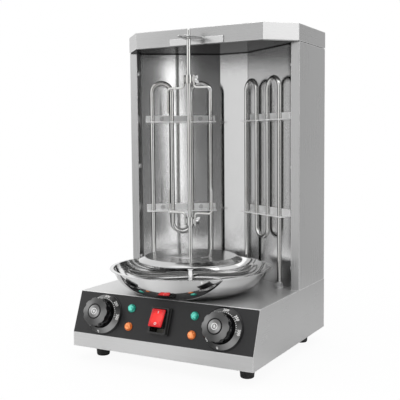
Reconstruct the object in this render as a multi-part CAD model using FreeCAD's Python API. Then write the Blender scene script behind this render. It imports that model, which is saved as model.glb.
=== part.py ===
"""Vertical rotisserie: a countertop grill whose skewer turns upright between two heating elements.

Millimetres. X runs to the right seen from the front, Y to the back, Z up. The origin is the middle of the
footprint of the whole object, at the height of the surface that the feet stand on.
"""

import FreeCAD, Part
import math
import os

# Base box
SHEET = 1.0
BASE_WIDTH = 290.0
BASE_DEPTH = 271.0
BASE_HEIGHT = 78.0
BAND_HEIGHT = 20.0
SLOPE_SETBACK = 22.4
EDGE_FOLD = 9.0

# Feet
FOOT_HEIGHT = 20.0
FOOT_TOP_RADIUS = 11.0
FOOT_LOW_RADIUS = 9.4
FOOT_EDGE = 2.0
FOOT_FROM_SIDE = 26.0
FOOT_FROM_FRONT = 37.0
FOOT_FROM_REAR = 33.0

# Tower above the base
TOWER_OVERHANG = 0.5
TOWER_SETBACK = 160.0
TOWER_REAR_GAP = 1.5
TOWER_HEIGHT = 361.0
FLANGE_WIDTH = 13.0
FLANGE_RETURN = 10.0
BACK_WALL_WIDTH = 49.0
BACK_WALL_GAP = 27.0
WALL_STEP = 1.0
BACK_LAP = 12.0

# Hood
HOOD_HEIGHT = 24.4
HOOD_SETBACK = 118.2
HOOD_CORNER = 39.3
CEILING_INSET = 2.0

# Spindle, plate, bowl and skewer
SPINDLE_SETBACK = 95.0
SHAFT_RADIUS = 3.5
SHAFT_KEY = 4.8
SHAFT_KEY_LENGTH = 10.0
BUSH_RADIUS = 7.0
BUSH_FLANGE_RADIUS = 10.0
BUSH_FLANGE = 2.0
BUSH_HEIGHT = 12.0
BUSH_EDGE = 1.0
PLATE_RADIUS = 76.6
PLATE_FLAT_RADIUS = 67.0
PLATE_TOP = 52.0
PLATE_DROP = 5.3
PLATE_LIP = 2.0
PLATE_SHEET = 1.2
PLATE_BOSS_RADIUS = 30.6
PLATE_BOSS_RISE = 0.8
PLATE_BOSS_EDGE = 1.0
PLATE_FOLD_SHIFT = 0.4
HUB_RADIUS = 4.6
HUB_DROP = 22.0
BOWL_RADIUS = 119.0
BOWL_RIM = 4.5
BOWL_HEIGHT = 36.0
BOWL_FOOT_RADIUS = 68.0
BOWL_SHEET = 1.0
BOWL_BULGE = 9.5
BOWL_NECK_HEIGHT = 12.0
SKEWER_RADIUS = 3.0
SKEWER_TOP_RADIUS = 2.5
SKEWER_TAPER = 18.0
SKEWER_TIP = 1.2
SKEWER_LENGTH = 329.0
SKEWER_KEY = 4.1
SKEWER_KEY_LENGTH = 8.0

# Clips on the skewer, each a collar with two bent prongs
COLLAR_RADIUS = 5.2
COLLAR_HEIGHT = 12.0
LUG_HEIGHT = 7.2
PRONG_RADIUS = 1.6
PRONG_TIP_RADIUS = 0.3
PRONG_ROOT = 8.0
PRONG_REACH = 36.0
PRONG_DROP = 12.2
PRONG_LENGTH = 50.0
PRONG_BEND = 5.0
PRONG_POINT = 5.0
UPPER_CLIP_HEIGHT = 309.7
LOWER_CLIP_HEIGHT = 102.7
THUMB_ANGLE = 55.0
THUMB_RADIUS = 1.5
THUMB_BOSS_RADIUS = 2.9
THUMB_BOSS_REACH = 7.5
THUMB_GAP = 0.5
THUMB_HUB_RADIUS = 2.5
THUMB_HUB_LENGTH = 4.0
WING_WIDTH = 12.0
WING_ROOT = 3.6
WING_NOTCH = 4.0
WING_LENGTH = 7.0
WING_TIP = 2.5
WING_THICKNESS = 1.6
WING_TURN = 40.0

# Top bracket that steadies the skewer
BRACKET_SHEET = 1.5
BRACKET_WIDTH = 90.0
BRACKET_HEIGHT = 10.0
TONGUE_RISE = 7.0
TONGUE_ROOT_WIDTH = 31.0
TONGUE_END_RADIUS = 10.5
TONGUE_REACH = 45.0
FORK_CLEARANCE = 0.6
FORK_DEPTH = 1.2

# Heating elements
TUBE_RADIUS = 3.3
LEG_PITCH = 31.5
FIRST_LEG = 16.6
HEATER_STANDOFF = 13.0
HEATER_TOP = 317.0
HEATER_LOOP = 69.0
TUBE_TAIL = 14.0
PIN_RADIUS = 1.5
PIN_LENGTH = 9.0
NUT_FLANGE_RADIUS = 6.2
NUT_FLANGE = 2.4
NUT_FLATS = 10.0
NUT_HEIGHT = 4.4
NUT_SLEEVE_WALL = 1.0
NUT_SLEEVE = 2.0

# Straps that hold the elements to the walls
STRAP_SHEET = 1.2
STRAP_FACE = 11.0
STRAP_NEAR_END = 10.5
STRAP_FAR_END = 8.4
STRAP_SCREW_RISE = 6.0
STRAP_LIP_MARGIN = 5.0
UPPER_STRAP = 250.6
LOWER_STRAP = 106.4

# Control panel
PANEL_SHEET = 0.8
PANEL_FROM_SIDE = 0.7
PANEL_FROM_BEND = 0.75
KNOB_FROM_SIDE = 48.7
KNOB_RADIUS = 20.3
KNOB_FOOT_RADIUS = 18.6
KNOB_HEIGHT = 22.1
KNOB_EDGE = 1.2
KNOB_GAP = 0.6
KNOB_LOBES = 10
KNOB_LOBE_RADIUS = 6.0
KNOB_LOBE_DEPTH = 2.0
KNOB_DOME = 1.6
KNOB_GROOVE = 1.4
KNOB_CAP_RADIUS = 9.6
KNOB_CAP_RISE = 0.6
DIAL_RADIUS = 30.0
DIAL_FLOOR = 2.0
DIAL_LIP = 1.5
DIAL_LIP_RISE = 1.6
DIAL_CREST_RADIUS = 21.3
DIAL_CREST = 7.7
DIAL_WELL_RADIUS = 20.9
DIAL_HOLE_RADIUS = 6.5
THERMOSTAT_WIDTH = 32.0
THERMOSTAT_LENGTH = 38.0
THERMOSTAT_DEPTH = 20.0
THERMOSTAT_NOSE_RADIUS = 4.6
THERMOSTAT_SHAFT_RADIUS = 3.0
THERMOSTAT_SHAFT_LENGTH = 14.0
LAMP_FROM_KNOB = 45.1
LAMP_SPREAD = 13.0
LAMP_RADIUS = 6.0
LAMP_HEIGHT = 6.4
LAMP_FLANGE = 1.6
LAMP_DOME_RADIUS = 5.1
LAMP_DOME_SHOULDER = 0.8
LAMP_DOME_STEPS = 5
LAMP_BODY_RADIUS = 4.4
LAMP_BODY_LENGTH = 20.0
LAMP_NUT_FLATS = 13.0
LAMP_NUT_HEIGHT = 3.0
SWITCH_WIDTH = 31.0
SWITCH_LENGTH = 39.0
SWITCH_RISE = 8.2
SWITCH_STEP = 3.4
SWITCH_STEP_IN = 1.2
SWITCH_BARREL_WALL = 1.5
SWITCH_BARREL_DEPTH = 10.0
SWITCH_BODY_DEPTH = 14.0
ROCKER_WIDTH = 21.5
ROCKER_LENGTH = 26.2
ROCKER_RISE = 14.2
ROCKER_TILT = 12.0
ROCKER_DISH = 1.0
ROCKER_SHOULDER = 2.0
ROCKER_KEEL = 4.0
ROCKER_PIN_RADIUS = 1.2
ROCKER_PIN_REACH = 0.9
ROCKER_PIVOT = 1.0
BLADE_WIDTH = 6.3
BLADE_THICKNESS = 0.8
BLADE_LENGTH = 7.0

# Drive motor under the deck
MOTOR_RADIUS = 24.5
MOTOR_HEIGHT = 22.0
MOTOR_DROP = 12.0
MOTOR_EDGE = 1.0
MOTOR_NECK_WIDTH = 12.0
MOTOR_NECK_LENGTH = 10.0
MOTOR_NECK_HEIGHT = 4.0
MOTOR_LUG_SPAN = 58.0
MOTOR_LUG_RADIUS = 4.5
MOTOR_LUG_THICKNESS = 2.0
MOTOR_BRACKET_WIDTH = 40.0
MOTOR_BRACKET_SPAN = 84.0
MOTOR_BRACKET_FOOT = 11.0
SHAFT_SEAT = 8.0
LOCK_NUT_HEIGHT = 4.4
LOCK_NUT_MARGIN = 5.0

# Mains inlet and terminal block
GLAND_FROM_SIDE = 47.0
GLAND_RISE = 22.0
GLAND_RADIUS = 9.0
GLAND_NOSE_RADIUS = 6.5
GLAND_TIP_RADIUS = 5.3
GLAND_BORE_RADIUS = 3.6
GLAND_REACH = 16.0
GLAND_COLLAR = 6.0
GLAND_SHOULDER = 1.0
GLAND_INSIDE = 9.0
BLOCK_LENGTH = 48.0
BLOCK_WIDTH = 20.0
BLOCK_HEIGHT = 14.0
BLOCK_SHOULDER = 8.4
BLOCK_RIDGE = 10.0
BLOCK_WAYS = 5
WELL_RADIUS = 2.7
WELL_DEPTH = 7.0
BLOCK_SETBACK = 60.0
WIRE_RADIUS = 1.2
WIRE_BEND = 5.0

# Vents
VENT_WIDTH = 3.0
VENT_LENGTH = 36.0
VENT_PITCH = 9.0
BASE_VENTS = 6
FLOOR_VENTS = 9
TOWER_VENTS = 10
TOWER_VENT_RISES = (90.0, 282.0)

# Screws
SCREW_RADIUS = 2.0
SCREW_HEAD_RADIUS = 3.6
SCREW_HEAD_HEIGHT = 2.0
SCREW_CROWN = 1.0
SCREW_LENGTH = 6.0
RECESS_LENGTH = 4.0
RECESS_WIDTH = 0.7
RECESS_DEPTH = 1.1
FOOT_SCREW_RADIUS = 2.5
FOOT_SCREW_HEAD_RADIUS = 4.3
FOOT_SCREW_HEAD_HEIGHT = 3.2
FOOT_SCREW_SEAT = 10.0
FOOT_NUT_FLATS = 8.0
FOOT_NUT_HEIGHT = 4.0
SMALL_NUT_FLATS = 7.0
SMALL_NUT_HEIGHT = 3.0
SCREW_TIP = 2.0
BOLT_INSET = 5.0
BOLT_FROM_END = 30.0
REFLECTOR_SCREW_FROM_END = 32.0
REAR_SCREW_FROM_END = 22.0
REAR_SCREW_INSET = 5.5

# Clearances
HOLE_CLEARANCE = 0.1
RUNNING_CLEARANCE = 0.05
SLIP_CLEARANCE = 0.3
KEY_CLEARANCE = 0.1

# Heights from the standing surface
floor_z = FOOT_HEIGHT
band_z = floor_z + BAND_HEIGHT
deck_z = floor_z + BASE_HEIGHT
tower_top = deck_z + TOWER_HEIGHT
hood_low = tower_top + SHEET
hood_top = hood_low + HOOD_HEIGHT

# Depths, with the bowl's front edge and the gland's nose at equal distances from the origin
bowl_overhang = BOWL_RADIUS - SPINDLE_SETBACK
front_y = bowl_overhang - (bowl_overhang + BASE_DEPTH + GLAND_REACH) / 2
rear_y = front_y + BASE_DEPTH
slope_top_y = front_y + SLOPE_SETBACK
spindle_y = front_y + SPINDLE_SETBACK
tower_front = front_y + TOWER_SETBACK
tower_rear = rear_y - TOWER_REAR_GAP
hood_front = front_y + HOOD_SETBACK
back_wall_y = rear_y - BACK_WALL_GAP - SHEET

# Half widths
base_half = BASE_WIDTH / 2
inner_half = base_half - SHEET
tower_half = base_half + TOWER_OVERHANG
flange_inner = tower_half - FLANGE_WIDTH
knob_x = base_half - KNOB_FROM_SIDE
lamp_x = knob_x - LAMP_FROM_KNOB
gland_x = base_half - GLAND_FROM_SIDE

# The sloping front, with its middle and tilt
slope_rise = BASE_HEIGHT - BAND_HEIGHT
slope_tilt = math.degrees(math.atan2(SLOPE_SETBACK, slope_rise))
slope_length = math.hypot(SLOPE_SETBACK, slope_rise)
slope_mid_y = front_y + SLOPE_SETBACK / 2
slope_mid_z = band_z + slope_rise / 2

# Stacked heights on the slope, measured out of its face
dial_floor = PANEL_SHEET + DIAL_FLOOR
knob_low = dial_floor + KNOB_GAP

# The side reflectors in plan, from the front corner to the back corner
wall_front = (flange_inner - WALL_STEP, tower_front + FLANGE_RETURN + WALL_STEP)
wall_back = (BACK_WALL_WIDTH / 2, back_wall_y)
wall_length = math.dist(wall_front, wall_back)
wall_run = ((wall_back[0] - wall_front[0]) / wall_length, (wall_back[1] - wall_front[1]) / wall_length)
wall_in = (-wall_run[1], wall_run[0])

# Spindle stack
plate_top_z = deck_z + PLATE_TOP
hub_low_z = plate_top_z - HUB_DROP
skewer_foot_z = plate_top_z + PLATE_BOSS_RISE
skewer_top_z = skewer_foot_z + SKEWER_LENGTH
motor_top_z = deck_z - SHEET - MOTOR_DROP
tongue_z = hood_low + TONGUE_RISE

V = FreeCAD.Vector
ORIGIN = V(0, 0, 0)
UP = V(0, 0, 1)
RIGHT = V(1, 0, 0)
BACK = V(0, 1, 0)


def face_of(points):
    """A flat face inside a closed run of points."""
    return Part.Face(Part.makePolygon(points + points[:1]))


def block(x0, x1, y0, y1, z0, z1):
    """A block between two opposite corners."""
    return Part.makeBox(x1 - x0, y1 - y0, z1 - z0, V(x0, y0, z0))


def centred(width, length, z0, z1, x=0.0, y=0.0):
    """An upright block around a point in plan."""
    return block(x - width / 2, x + width / 2, y - length / 2, y + length / 2, z0, z1)


def upright(outline, z0, z1):
    """A solid over an outline in plan."""
    return face_of([V(x, y, z0) for x, y in outline]).extrude(V(0, 0, z1 - z0))


def crosswise(outline, x0, x1):
    """A solid over an outline in side view, from one width to another."""
    return face_of([V(x0, y, z) for y, z in outline]).extrude(V(x1 - x0, 0, 0))


def turned(outline, x=0.0, y=0.0, z=0.0):
    """A solid of revolution about an upright axis, from radii and heights."""
    return face_of([V(x + r, y, z + h) for r, h in outline]).revolve(V(x, y, z), UP, 360)


def rod(radius, start, end):
    """A round bar from one point to another."""
    return Part.makeCylinder(radius, (end - start).Length, start, end - start)


def pole(radius, x, y, z0, z1):
    """A round upright bar."""
    return Part.makeCylinder(radius, z1 - z0, V(x, y, z0))


def hexagon(flats, x, y, z0, z1):
    """A hexagonal prism by its width across flats."""
    corner = flats / math.sqrt(3)
    angles = [math.radians(60 * i) for i in range(6)]
    return upright([(x + corner * math.cos(a), y + corner * math.sin(a)) for a in angles], z0, z1)


def offset_run(points, distance, closed=False):
    """A run of plan points moved to its left, with its corners kept sharp."""
    moved = []
    last = len(points) - 1
    for i, here in enumerate(points):
        before = points[i - 1] if i > 0 or closed else None
        after = points[(i + 1) % len(points)] if i < last or closed else None
        ways = []
        for a, b in ((before, here), (here, after)):
            if a is not None and b is not None:
                length = math.dist(a, b)
                ways.append(((a[1] - b[1]) / length, (b[0] - a[0]) / length))
        first, second = ways[0], ways[-1]
        share = distance / (1 + first[0] * second[0] + first[1] * second[1])
        moved.append((here[0] + share * (first[0] + second[0]), here[1] + share * (first[1] + second[1])))
    return moved


def folded(points, thickness):
    """The outline of a bent sheet to the left of a run of points."""
    return points + offset_run(points, thickness)[::-1]


def inset(outline, distance):
    """A closed outline, drawn anticlockwise, made smaller all round."""
    return offset_run(outline, distance, closed=True)


def facing(shape, position, direction):
    """A shape drawn along +Z at the origin, moved to a place and turned to point another way."""
    placed = shape.copy()
    move = FreeCAD.Placement(position, FreeCAD.Rotation(UP, direction))
    placed.Placement = move.multiply(placed.Placement)
    return placed


def on_slope(shape):
    """A shape drawn flat, with y up the slope and z out of it, laid on the middle of the sloping front."""
    placed = shape.copy()
    placed.rotate(ORIGIN, RIGHT, 90 - slope_tilt)
    placed.translate(V(0, slope_mid_y, slope_mid_z))
    return placed


def sided(shape, side):
    """A shape drawn for the right half, or its mirror image for the left."""
    return shape if side > 0 else shape.mirror(ORIGIN, RIGHT)


def on_wall(distance, inwards):
    """A plan point beside the right reflector, by its distance from the front corner and from the wall."""
    return (
        wall_front[0] + distance * wall_run[0] + inwards * wall_in[0],
        wall_front[1] + distance * wall_run[1] + inwards * wall_in[1],
    )


def tube(points, bend, radius):
    """A round bar along straight runs, with every corner rounded by one bend radius."""
    edges = []
    start = points[0]
    for before, corner, after in zip(points, points[1:], points[2:]):
        back = (before - corner).normalize()
        ahead = (after - corner).normalize()
        half = back.getAngle(ahead) / 2
        middle = (back + ahead).normalize()
        enter = corner + back * (bend / math.tan(half))
        leave = corner + ahead * (bend / math.tan(half))
        apex = corner + middle * (bend / math.sin(half) - bend)
        if start.distanceToPoint(enter) > 1e-6:
            edges.append(Part.makeLine(start, enter))
        edges.append(Part.Arc(enter, apex, leave).toShape())
        start = leave
    edges.append(Part.makeLine(start, points[-1]))
    profile = Part.Wire(Part.makeCircle(radius, points[0], points[1] - points[0]))
    return Part.Wire(edges).makePipeShell([profile], True, True)


def pan_screw(position, direction, length=SCREW_LENGTH):
    """A pan head screw with a cross recess, its head standing out of a face in a direction."""
    head = turned([
        (0, 0), (SCREW_HEAD_RADIUS, 0), (SCREW_HEAD_RADIUS, SCREW_HEAD_HEIGHT / 2),
        (SCREW_HEAD_RADIUS - SCREW_CROWN, SCREW_HEAD_HEIGHT), (0, SCREW_HEAD_HEIGHT),
    ])
    for width, length_y in ((RECESS_LENGTH, RECESS_WIDTH), (RECESS_WIDTH, RECESS_LENGTH)):
        head = head.cut(centred(width, length_y, SCREW_HEAD_HEIGHT - RECESS_DEPTH, SCREW_HEAD_HEIGHT + 1))
    screw = head.fuse(pole(SCREW_RADIUS, 0, 0, -length, 0)).removeSplitter()
    return facing(screw, position, direction)


def screw_hole(position, direction):
    """What a pan head screw's hole takes out of the sheets behind its head."""
    return facing(pole(SCREW_RADIUS + HOLE_CLEARANCE, 0, 0, -3 * SHEET, 1), position, direction)


def slots(count, pitch, width, length, depth):
    """A row of flat slots side by side along x, cut through from -depth to depth."""
    first = -(count - 1) * pitch / 2
    return [centred(width, length, -depth, depth, first + i * pitch) for i in range(count)]


def foot_places():
    """The plan points of the four feet."""
    ys = (front_y + FOOT_FROM_FRONT, rear_y - FOOT_FROM_REAR)
    return [(x, y) for x in (-base_half + FOOT_FROM_SIDE, base_half - FOOT_FROM_SIDE) for y in ys]


def leg_places():
    """The plan points of the four legs of the right element."""
    return [on_wall(FIRST_LEG + i * LEG_PITCH, HEATER_STANDOFF) for i in range(4)]


def heater_feet():
    """The plan points of the outer legs of both elements, where they go through the deck."""
    legs = leg_places()
    return [(side * x, y) for side in (1, -1) for x, y in (legs[0], legs[-1])]


def tower_bolt_places():
    """The plan points of the bolts at the tower's foot, and of those in its top that hold the hood."""
    x = tower_half - SHEET - BOLT_INSET
    ys = (tower_front + BOLT_FROM_END, tower_rear - BOLT_FROM_END)
    return [(side * x, y) for side in (1, -1) for y in ys]


def even_heights(from_end):
    """Three heights on the tower: near its foot, in the middle and near its top."""
    return [deck_z + from_end, (deck_z + tower_top) / 2, tower_top - from_end]


def reflector_screw_places():
    """The places of the screws through the tower's returns, three on each side."""
    y = tower_front + FLANGE_RETURN / 2
    heights = even_heights(REFLECTOR_SCREW_FROM_END)
    return [(side, V(side * flange_inner, y, z)) for side in (1, -1) for z in heights]


def strap_screw_places():
    """The places on the right reflector's face of the screws of both straps, with the way they face."""
    between = (FIRST_LEG + LEG_PITCH / 2, FIRST_LEG + LEG_PITCH * 2.5)
    places = []
    for height in (UPPER_STRAP, LOWER_STRAP):
        for distance in between:
            x, y = on_wall(distance, 0)
            places.append(V(x, y, deck_z + height + STRAP_SCREW_RISE))
    return places


def motor_foot_places():
    """The plan points of the screws that hang the motor's bracket under the deck."""
    x = MOTOR_BRACKET_SPAN / 2 + MOTOR_BRACKET_FOOT / 2
    return [(-x, spindle_y), (x, spindle_y)]


def base_outline():
    """The base box in side view."""
    low = [(front_y, floor_z), (rear_y, floor_z)]
    return low + [(rear_y, deck_z), (slope_top_y, deck_z), (front_y, band_z)]


def slope_cutouts():
    """What the controls take out of the sloping sheets."""
    through = 2 * SHEET + PANEL_SHEET
    nose = THERMOSTAT_NOSE_RADIUS + HOLE_CLEARANCE
    lamp = LAMP_BODY_RADIUS + HOLE_CLEARANCE
    tools = []
    for side in (-1, 1):
        tools.append(pole(nose, side * knob_x, 0, -through, through))
        for rise in (-LAMP_SPREAD, LAMP_SPREAD):
            tools.append(pole(lamp, side * lamp_x, rise, -through, through))
    width, length = barrel_size()
    tools.append(centred(width + 2 * HOLE_CLEARANCE, length + 2 * HOLE_CLEARANCE, -through, through))
    return [on_slope(tool) for tool in tools]


def rocker_opening():
    """The width and length of the hole that the rocker swings in."""
    swing = math.radians(ROCKER_TILT)
    reach = ROCKER_LENGTH / 2 * math.cos(swing) + ROCKER_RISE * math.sin(swing)
    return ROCKER_WIDTH + 2 * SLIP_CLEARANCE, 2 * (reach + SLIP_CLEARANCE)


def barrel_size():
    """The outer width and length of the switch barrel behind the panel."""
    width, length = rocker_opening()
    return width + 2 * SWITCH_BARREL_WALL, length + 2 * SWITCH_BARREL_WALL


def base_cover():
    """Top, slope and front band of the base, one bent sheet."""
    run = [(front_y, floor_z), (front_y, band_z), (slope_top_y, deck_z), (rear_y, deck_z)]
    sheet = crosswise(folded(run, -SHEET), -inner_half, inner_half)
    tools = slope_cutouts()
    tools.append(pole(BUSH_RADIUS + HOLE_CLEARANCE, 0, spindle_y, deck_z - 2 * SHEET, deck_z + SHEET))
    for x, y in heater_feet():
        tools.append(pole(TUBE_RADIUS + HOLE_CLEARANCE, x, y, deck_z - 2 * SHEET, deck_z + SHEET))
    for x, y in tower_bolt_places() + motor_foot_places():
        tools.append(pole(SCREW_RADIUS + HOLE_CLEARANCE, x, y, deck_z - 2 * SHEET, deck_z + SHEET))
    return sheet.cut(tools)


def base_side(side):
    """A side of the base with a fold under the deck."""
    wall = crosswise(base_outline(), inner_half, base_half)
    under = deck_z - SHEET
    fold = block(inner_half - EDGE_FOLD, inner_half, slope_top_y + 2 * EDGE_FOLD, rear_y - 2 * EDGE_FOLD,
                 under - SHEET, under)
    hole = SCREW_RADIUS + HOLE_CLEARANCE
    bolts = [pole(hole, x, y, under - 2 * SHEET, under) for x, y in tower_bolt_places()]
    return sided(wall.fuse(fold).removeSplitter().cut(bolts), side)


def base_floor():
    """Floor pan of the base with its edge folded up and vent slots."""
    y0 = front_y + SHEET
    y1 = rear_y - SHEET
    top = floor_z + SHEET + EDGE_FOLD
    pan = block(-inner_half, inner_half, y0, y1, floor_z, top)
    pan_inner = inner_half - SHEET
    tools = [block(-pan_inner, pan_inner, y0 + SHEET, y1 - SHEET, floor_z + SHEET, top + 1)]
    for slot in slots(FLOOR_VENTS, VENT_PITCH, VENT_WIDTH, 2 * VENT_LENGTH, 2 * SHEET):
        slot.translate(V(0, spindle_y, floor_z))
        tools.append(slot)
    for x, y in foot_places():
        tools.append(pole(FOOT_SCREW_RADIUS + HOLE_CLEARANCE, x, y, floor_z - SHEET, floor_z + 2 * SHEET))
    tools += [screw_hole(V(x, rear_y, z), BACK) for x, z in base_rear_screws()]
    return pan.cut(tools)


def gland_place():
    """The middle of the gland on the rear panel's outer face."""
    return V(gland_x, rear_y, floor_z + GLAND_RISE)


def base_rear_panel():
    """Rear of the base with vent slots and the hole for the gland."""
    panel = block(-inner_half, inner_half, rear_y - SHEET, rear_y, floor_z, deck_z - SHEET)
    tools = []
    for slot in slots(BASE_VENTS, VENT_PITCH, VENT_WIDTH, VENT_LENGTH, 2 * SHEET):
        slot.rotate(ORIGIN, RIGHT, 90)
        slot.translate(V(0, rear_y, floor_z + BASE_HEIGHT / 2))
        tools.append(slot)
    middle = gland_place()
    tools.append(rod(GLAND_NOSE_RADIUS + HOLE_CLEARANCE, middle - BACK * 3 * SHEET, middle + BACK * SHEET))
    for x, z in base_rear_screws():
        tools.append(screw_hole(V(x, rear_y, z), BACK))
    return panel.cut(tools)


def base_rear_screws():
    """The places of the screws that hold the base's rear to the floor's upturned edge."""
    z = floor_z + SHEET + EDGE_FOLD / 2
    outer = inner_half - 2 * EDGE_FOLD
    inner = gland_x / 3
    return [(x, z) for x in (-outer, -inner, inner, outer)]


def rubber_feet():
    """Four tapered feet, each with a recess for its screw."""
    feet = []
    for x, y in foot_places():
        foot = turned([
            (0, 0), (FOOT_LOW_RADIUS - FOOT_EDGE, 0), (FOOT_LOW_RADIUS, FOOT_EDGE),
            (FOOT_TOP_RADIUS, FOOT_HEIGHT), (0, FOOT_HEIGHT),
        ], x, y)
        recess = pole(FOOT_SCREW_HEAD_RADIUS + SLIP_CLEARANCE, x, y, 0, FOOT_SCREW_SEAT)
        feet.append(foot.cut([recess, pole(FOOT_SCREW_RADIUS + HOLE_CLEARANCE, x, y, 0, FOOT_HEIGHT)]))
    return feet


def foot_screws():
    """A screw up through each foot, with its nut inside the base."""
    screws = []
    seat = FOOT_SCREW_SEAT
    low = floor_z + SHEET
    top = low + FOOT_NUT_HEIGHT
    for x, y in foot_places():
        head = pole(FOOT_SCREW_HEAD_RADIUS, x, y, seat - FOOT_SCREW_HEAD_HEIGHT, seat)
        screws.append(head.fuse(pole(FOOT_SCREW_RADIUS, x, y, seat, top + SCREW_TIP)).removeSplitter())
        hole = pole(FOOT_SCREW_RADIUS + RUNNING_CLEARANCE, x, y, low - 1, top + 1)
        screws.append(hexagon(FOOT_NUT_FLATS, x, y, low, top).cut(hole))
    return screws


def tower_side(side):
    """A side of the tower: front flange and return, outer wall, rear fold, and folds at top and bottom."""
    run = [
        (flange_inner, tower_front + FLANGE_RETURN),
        (flange_inner, tower_front),
        (tower_half, tower_front),
        (tower_half, tower_rear - SHEET),
        (tower_half - EDGE_FOLD, tower_rear - SHEET),
    ]
    sheet = upright(folded(run, SHEET), deck_z, tower_top)
    x0 = tower_half - SHEET - EDGE_FOLD
    y0 = tower_front + 2 * EDGE_FOLD
    y1 = tower_rear - 2 * EDGE_FOLD
    parts = [
        block(x0, tower_half - SHEET, y0, y1, deck_z, deck_z + SHEET),
        block(x0, tower_half - SHEET, y0, y1, tower_top - SHEET, tower_top),
    ]
    hole = SCREW_RADIUS + HOLE_CLEARANCE
    tools = []
    for x, y in tower_bolt_places():
        tools.append(pole(hole, x, y, deck_z - 1, deck_z + 2 * SHEET))
        tools.append(pole(hole, x, y, tower_top - 2 * SHEET, tower_top + 1))
    for place_side, place in reflector_screw_places():
        if place_side > 0:
            tools.append(screw_hole(place, -RIGHT))
    for x, z in tower_rear_screws():
        tools.append(screw_hole(V(x, tower_rear, z), BACK))
    return sided(sheet.fuse(parts).removeSplitter().cut(tools), side)


def tower_rear_screws():
    """The places of the screws that hold the tower's rear panel."""
    x = tower_half - REAR_SCREW_INSET
    return [(side * x, z) for side in (1, -1) for z in even_heights(REAR_SCREW_FROM_END)]


def tower_rear_panel():
    """Rear of the tower with two rows of vent slots."""
    half = tower_half - SHEET
    panel = block(-half, half, tower_rear - SHEET, tower_rear, deck_z, tower_top)
    tools = []
    for rise in TOWER_VENT_RISES:
        for slot in slots(TOWER_VENTS, 2 * VENT_PITCH, VENT_WIDTH, VENT_LENGTH, 2 * SHEET):
            slot.rotate(ORIGIN, RIGHT, 90)
            slot.translate(V(0, tower_rear, deck_z + rise))
            tools.append(slot)
    for x, z in tower_rear_screws():
        tools.append(screw_hole(V(x, tower_rear, z), BACK))
    return panel.cut(tools)


def side_reflector(side):
    """A polished wall behind a heating element, hooked round the tower's return."""
    behind = flange_inner + SHEET
    run = [
        (behind, tower_front + 2 * SHEET),
        (behind, wall_front[1]),
        wall_front,
        wall_back,
    ]
    sheet = upright(folded(run, -SHEET), deck_z, tower_top)
    tools = [screw_hole(place, -RIGHT) for place_side, place in reflector_screw_places() if place_side > 0]
    facing_in = V(wall_in[0], wall_in[1], 0)
    tools += [screw_hole(place, facing_in) for place in strap_screw_places()]
    return sided(sheet.cut(tools), side)


def back_reflector():
    """The narrow back wall between the side reflectors, with laps behind them."""
    out = (-wall_in[0], -wall_in[1])
    near = (wall_back[0] + SHEET * out[0], wall_back[1] + SHEET * out[1])
    far = (near[0] - BACK_LAP * wall_run[0], near[1] - BACK_LAP * wall_run[1])
    left_lap = [(-far[0], far[1]), (-near[0], near[1])]
    inner = left_lap + [(-wall_back[0], back_wall_y), wall_back, near, far]
    outer = offset_run(left_lap + [near, far], SHEET)
    return upright(inner + outer[::-1], deck_z, tower_top)


def reflector_screws():
    """Screws through the tower's returns and through the straps into the reflectors."""
    screws = [pan_screw(place, -RIGHT * side) for side, place in reflector_screw_places()]
    facing_in = V(wall_in[0], wall_in[1], 0)
    for place in strap_screw_places():
        screw = pan_screw(place + facing_in * STRAP_SHEET, facing_in)
        screws += [sided(screw, 1), sided(screw, -1)]
    return screws


def nutted_bolt(x, y, low, high):
    """A pan head bolt up through sheets between two heights, with a nut on top."""
    top = high + SMALL_NUT_HEIGHT
    hole = pole(SCREW_RADIUS + RUNNING_CLEARANCE, x, y, high - 1, top + 1)
    return [
        pan_screw(V(x, y, low), -UP, top + SCREW_TIP - low),
        hexagon(SMALL_NUT_FLATS, x, y, high, top).cut(hole),
    ]


def tower_bolts():
    """Bolts that join the tower's sides to the deck below and to the ceiling and hood above."""
    bolts = []
    for x, y in tower_bolt_places():
        bolts += nutted_bolt(x, y, deck_z - 2 * SHEET, deck_z + SHEET)
    for x, y in tower_bolt_places():
        bolts += nutted_bolt(x, y, tower_top - SHEET, hood_low + SHEET)
    return bolts


def hood_outline():
    """The hood in plan, with its front corners cut back to the tower."""
    x = tower_half - HOOD_CORNER
    y = tower_front - TOWER_REAR_GAP
    return [
        (-x, hood_front), (x, hood_front), (tower_half, y), (tower_half, tower_rear),
        (-tower_half, tower_rear), (-tower_half, y),
    ]


def hood_shell():
    """The hood: top and skirt in one, with an inward fold along the lower edge."""
    outline = hood_outline()
    shell = upright(outline, hood_low, hood_top)
    inside = upright(inset(outline, SHEET), hood_low + SHEET, hood_top - SHEET)
    mouth = upright(inset(outline, EDGE_FOLD + SHEET), hood_low - 1, hood_low + 2 * SHEET)
    tools = [inside, mouth]
    for x, y in tower_bolt_places():
        tools.append(pole(SCREW_RADIUS + HOLE_CLEARANCE, x, y, hood_low - 1, hood_low + 2 * SHEET))
    return shell.cut(tools)


def hood_ceiling():
    """Flat plate that closes the hood from below and the cooking space from above."""
    plate = upright(inset(hood_outline(), CEILING_INSET), tower_top, hood_low)
    hole = SCREW_RADIUS + HOLE_CLEARANCE
    return plate.cut([pole(hole, x, y, tower_top - 1, hood_low + 1) for x, y in tower_bolt_places()])


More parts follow.
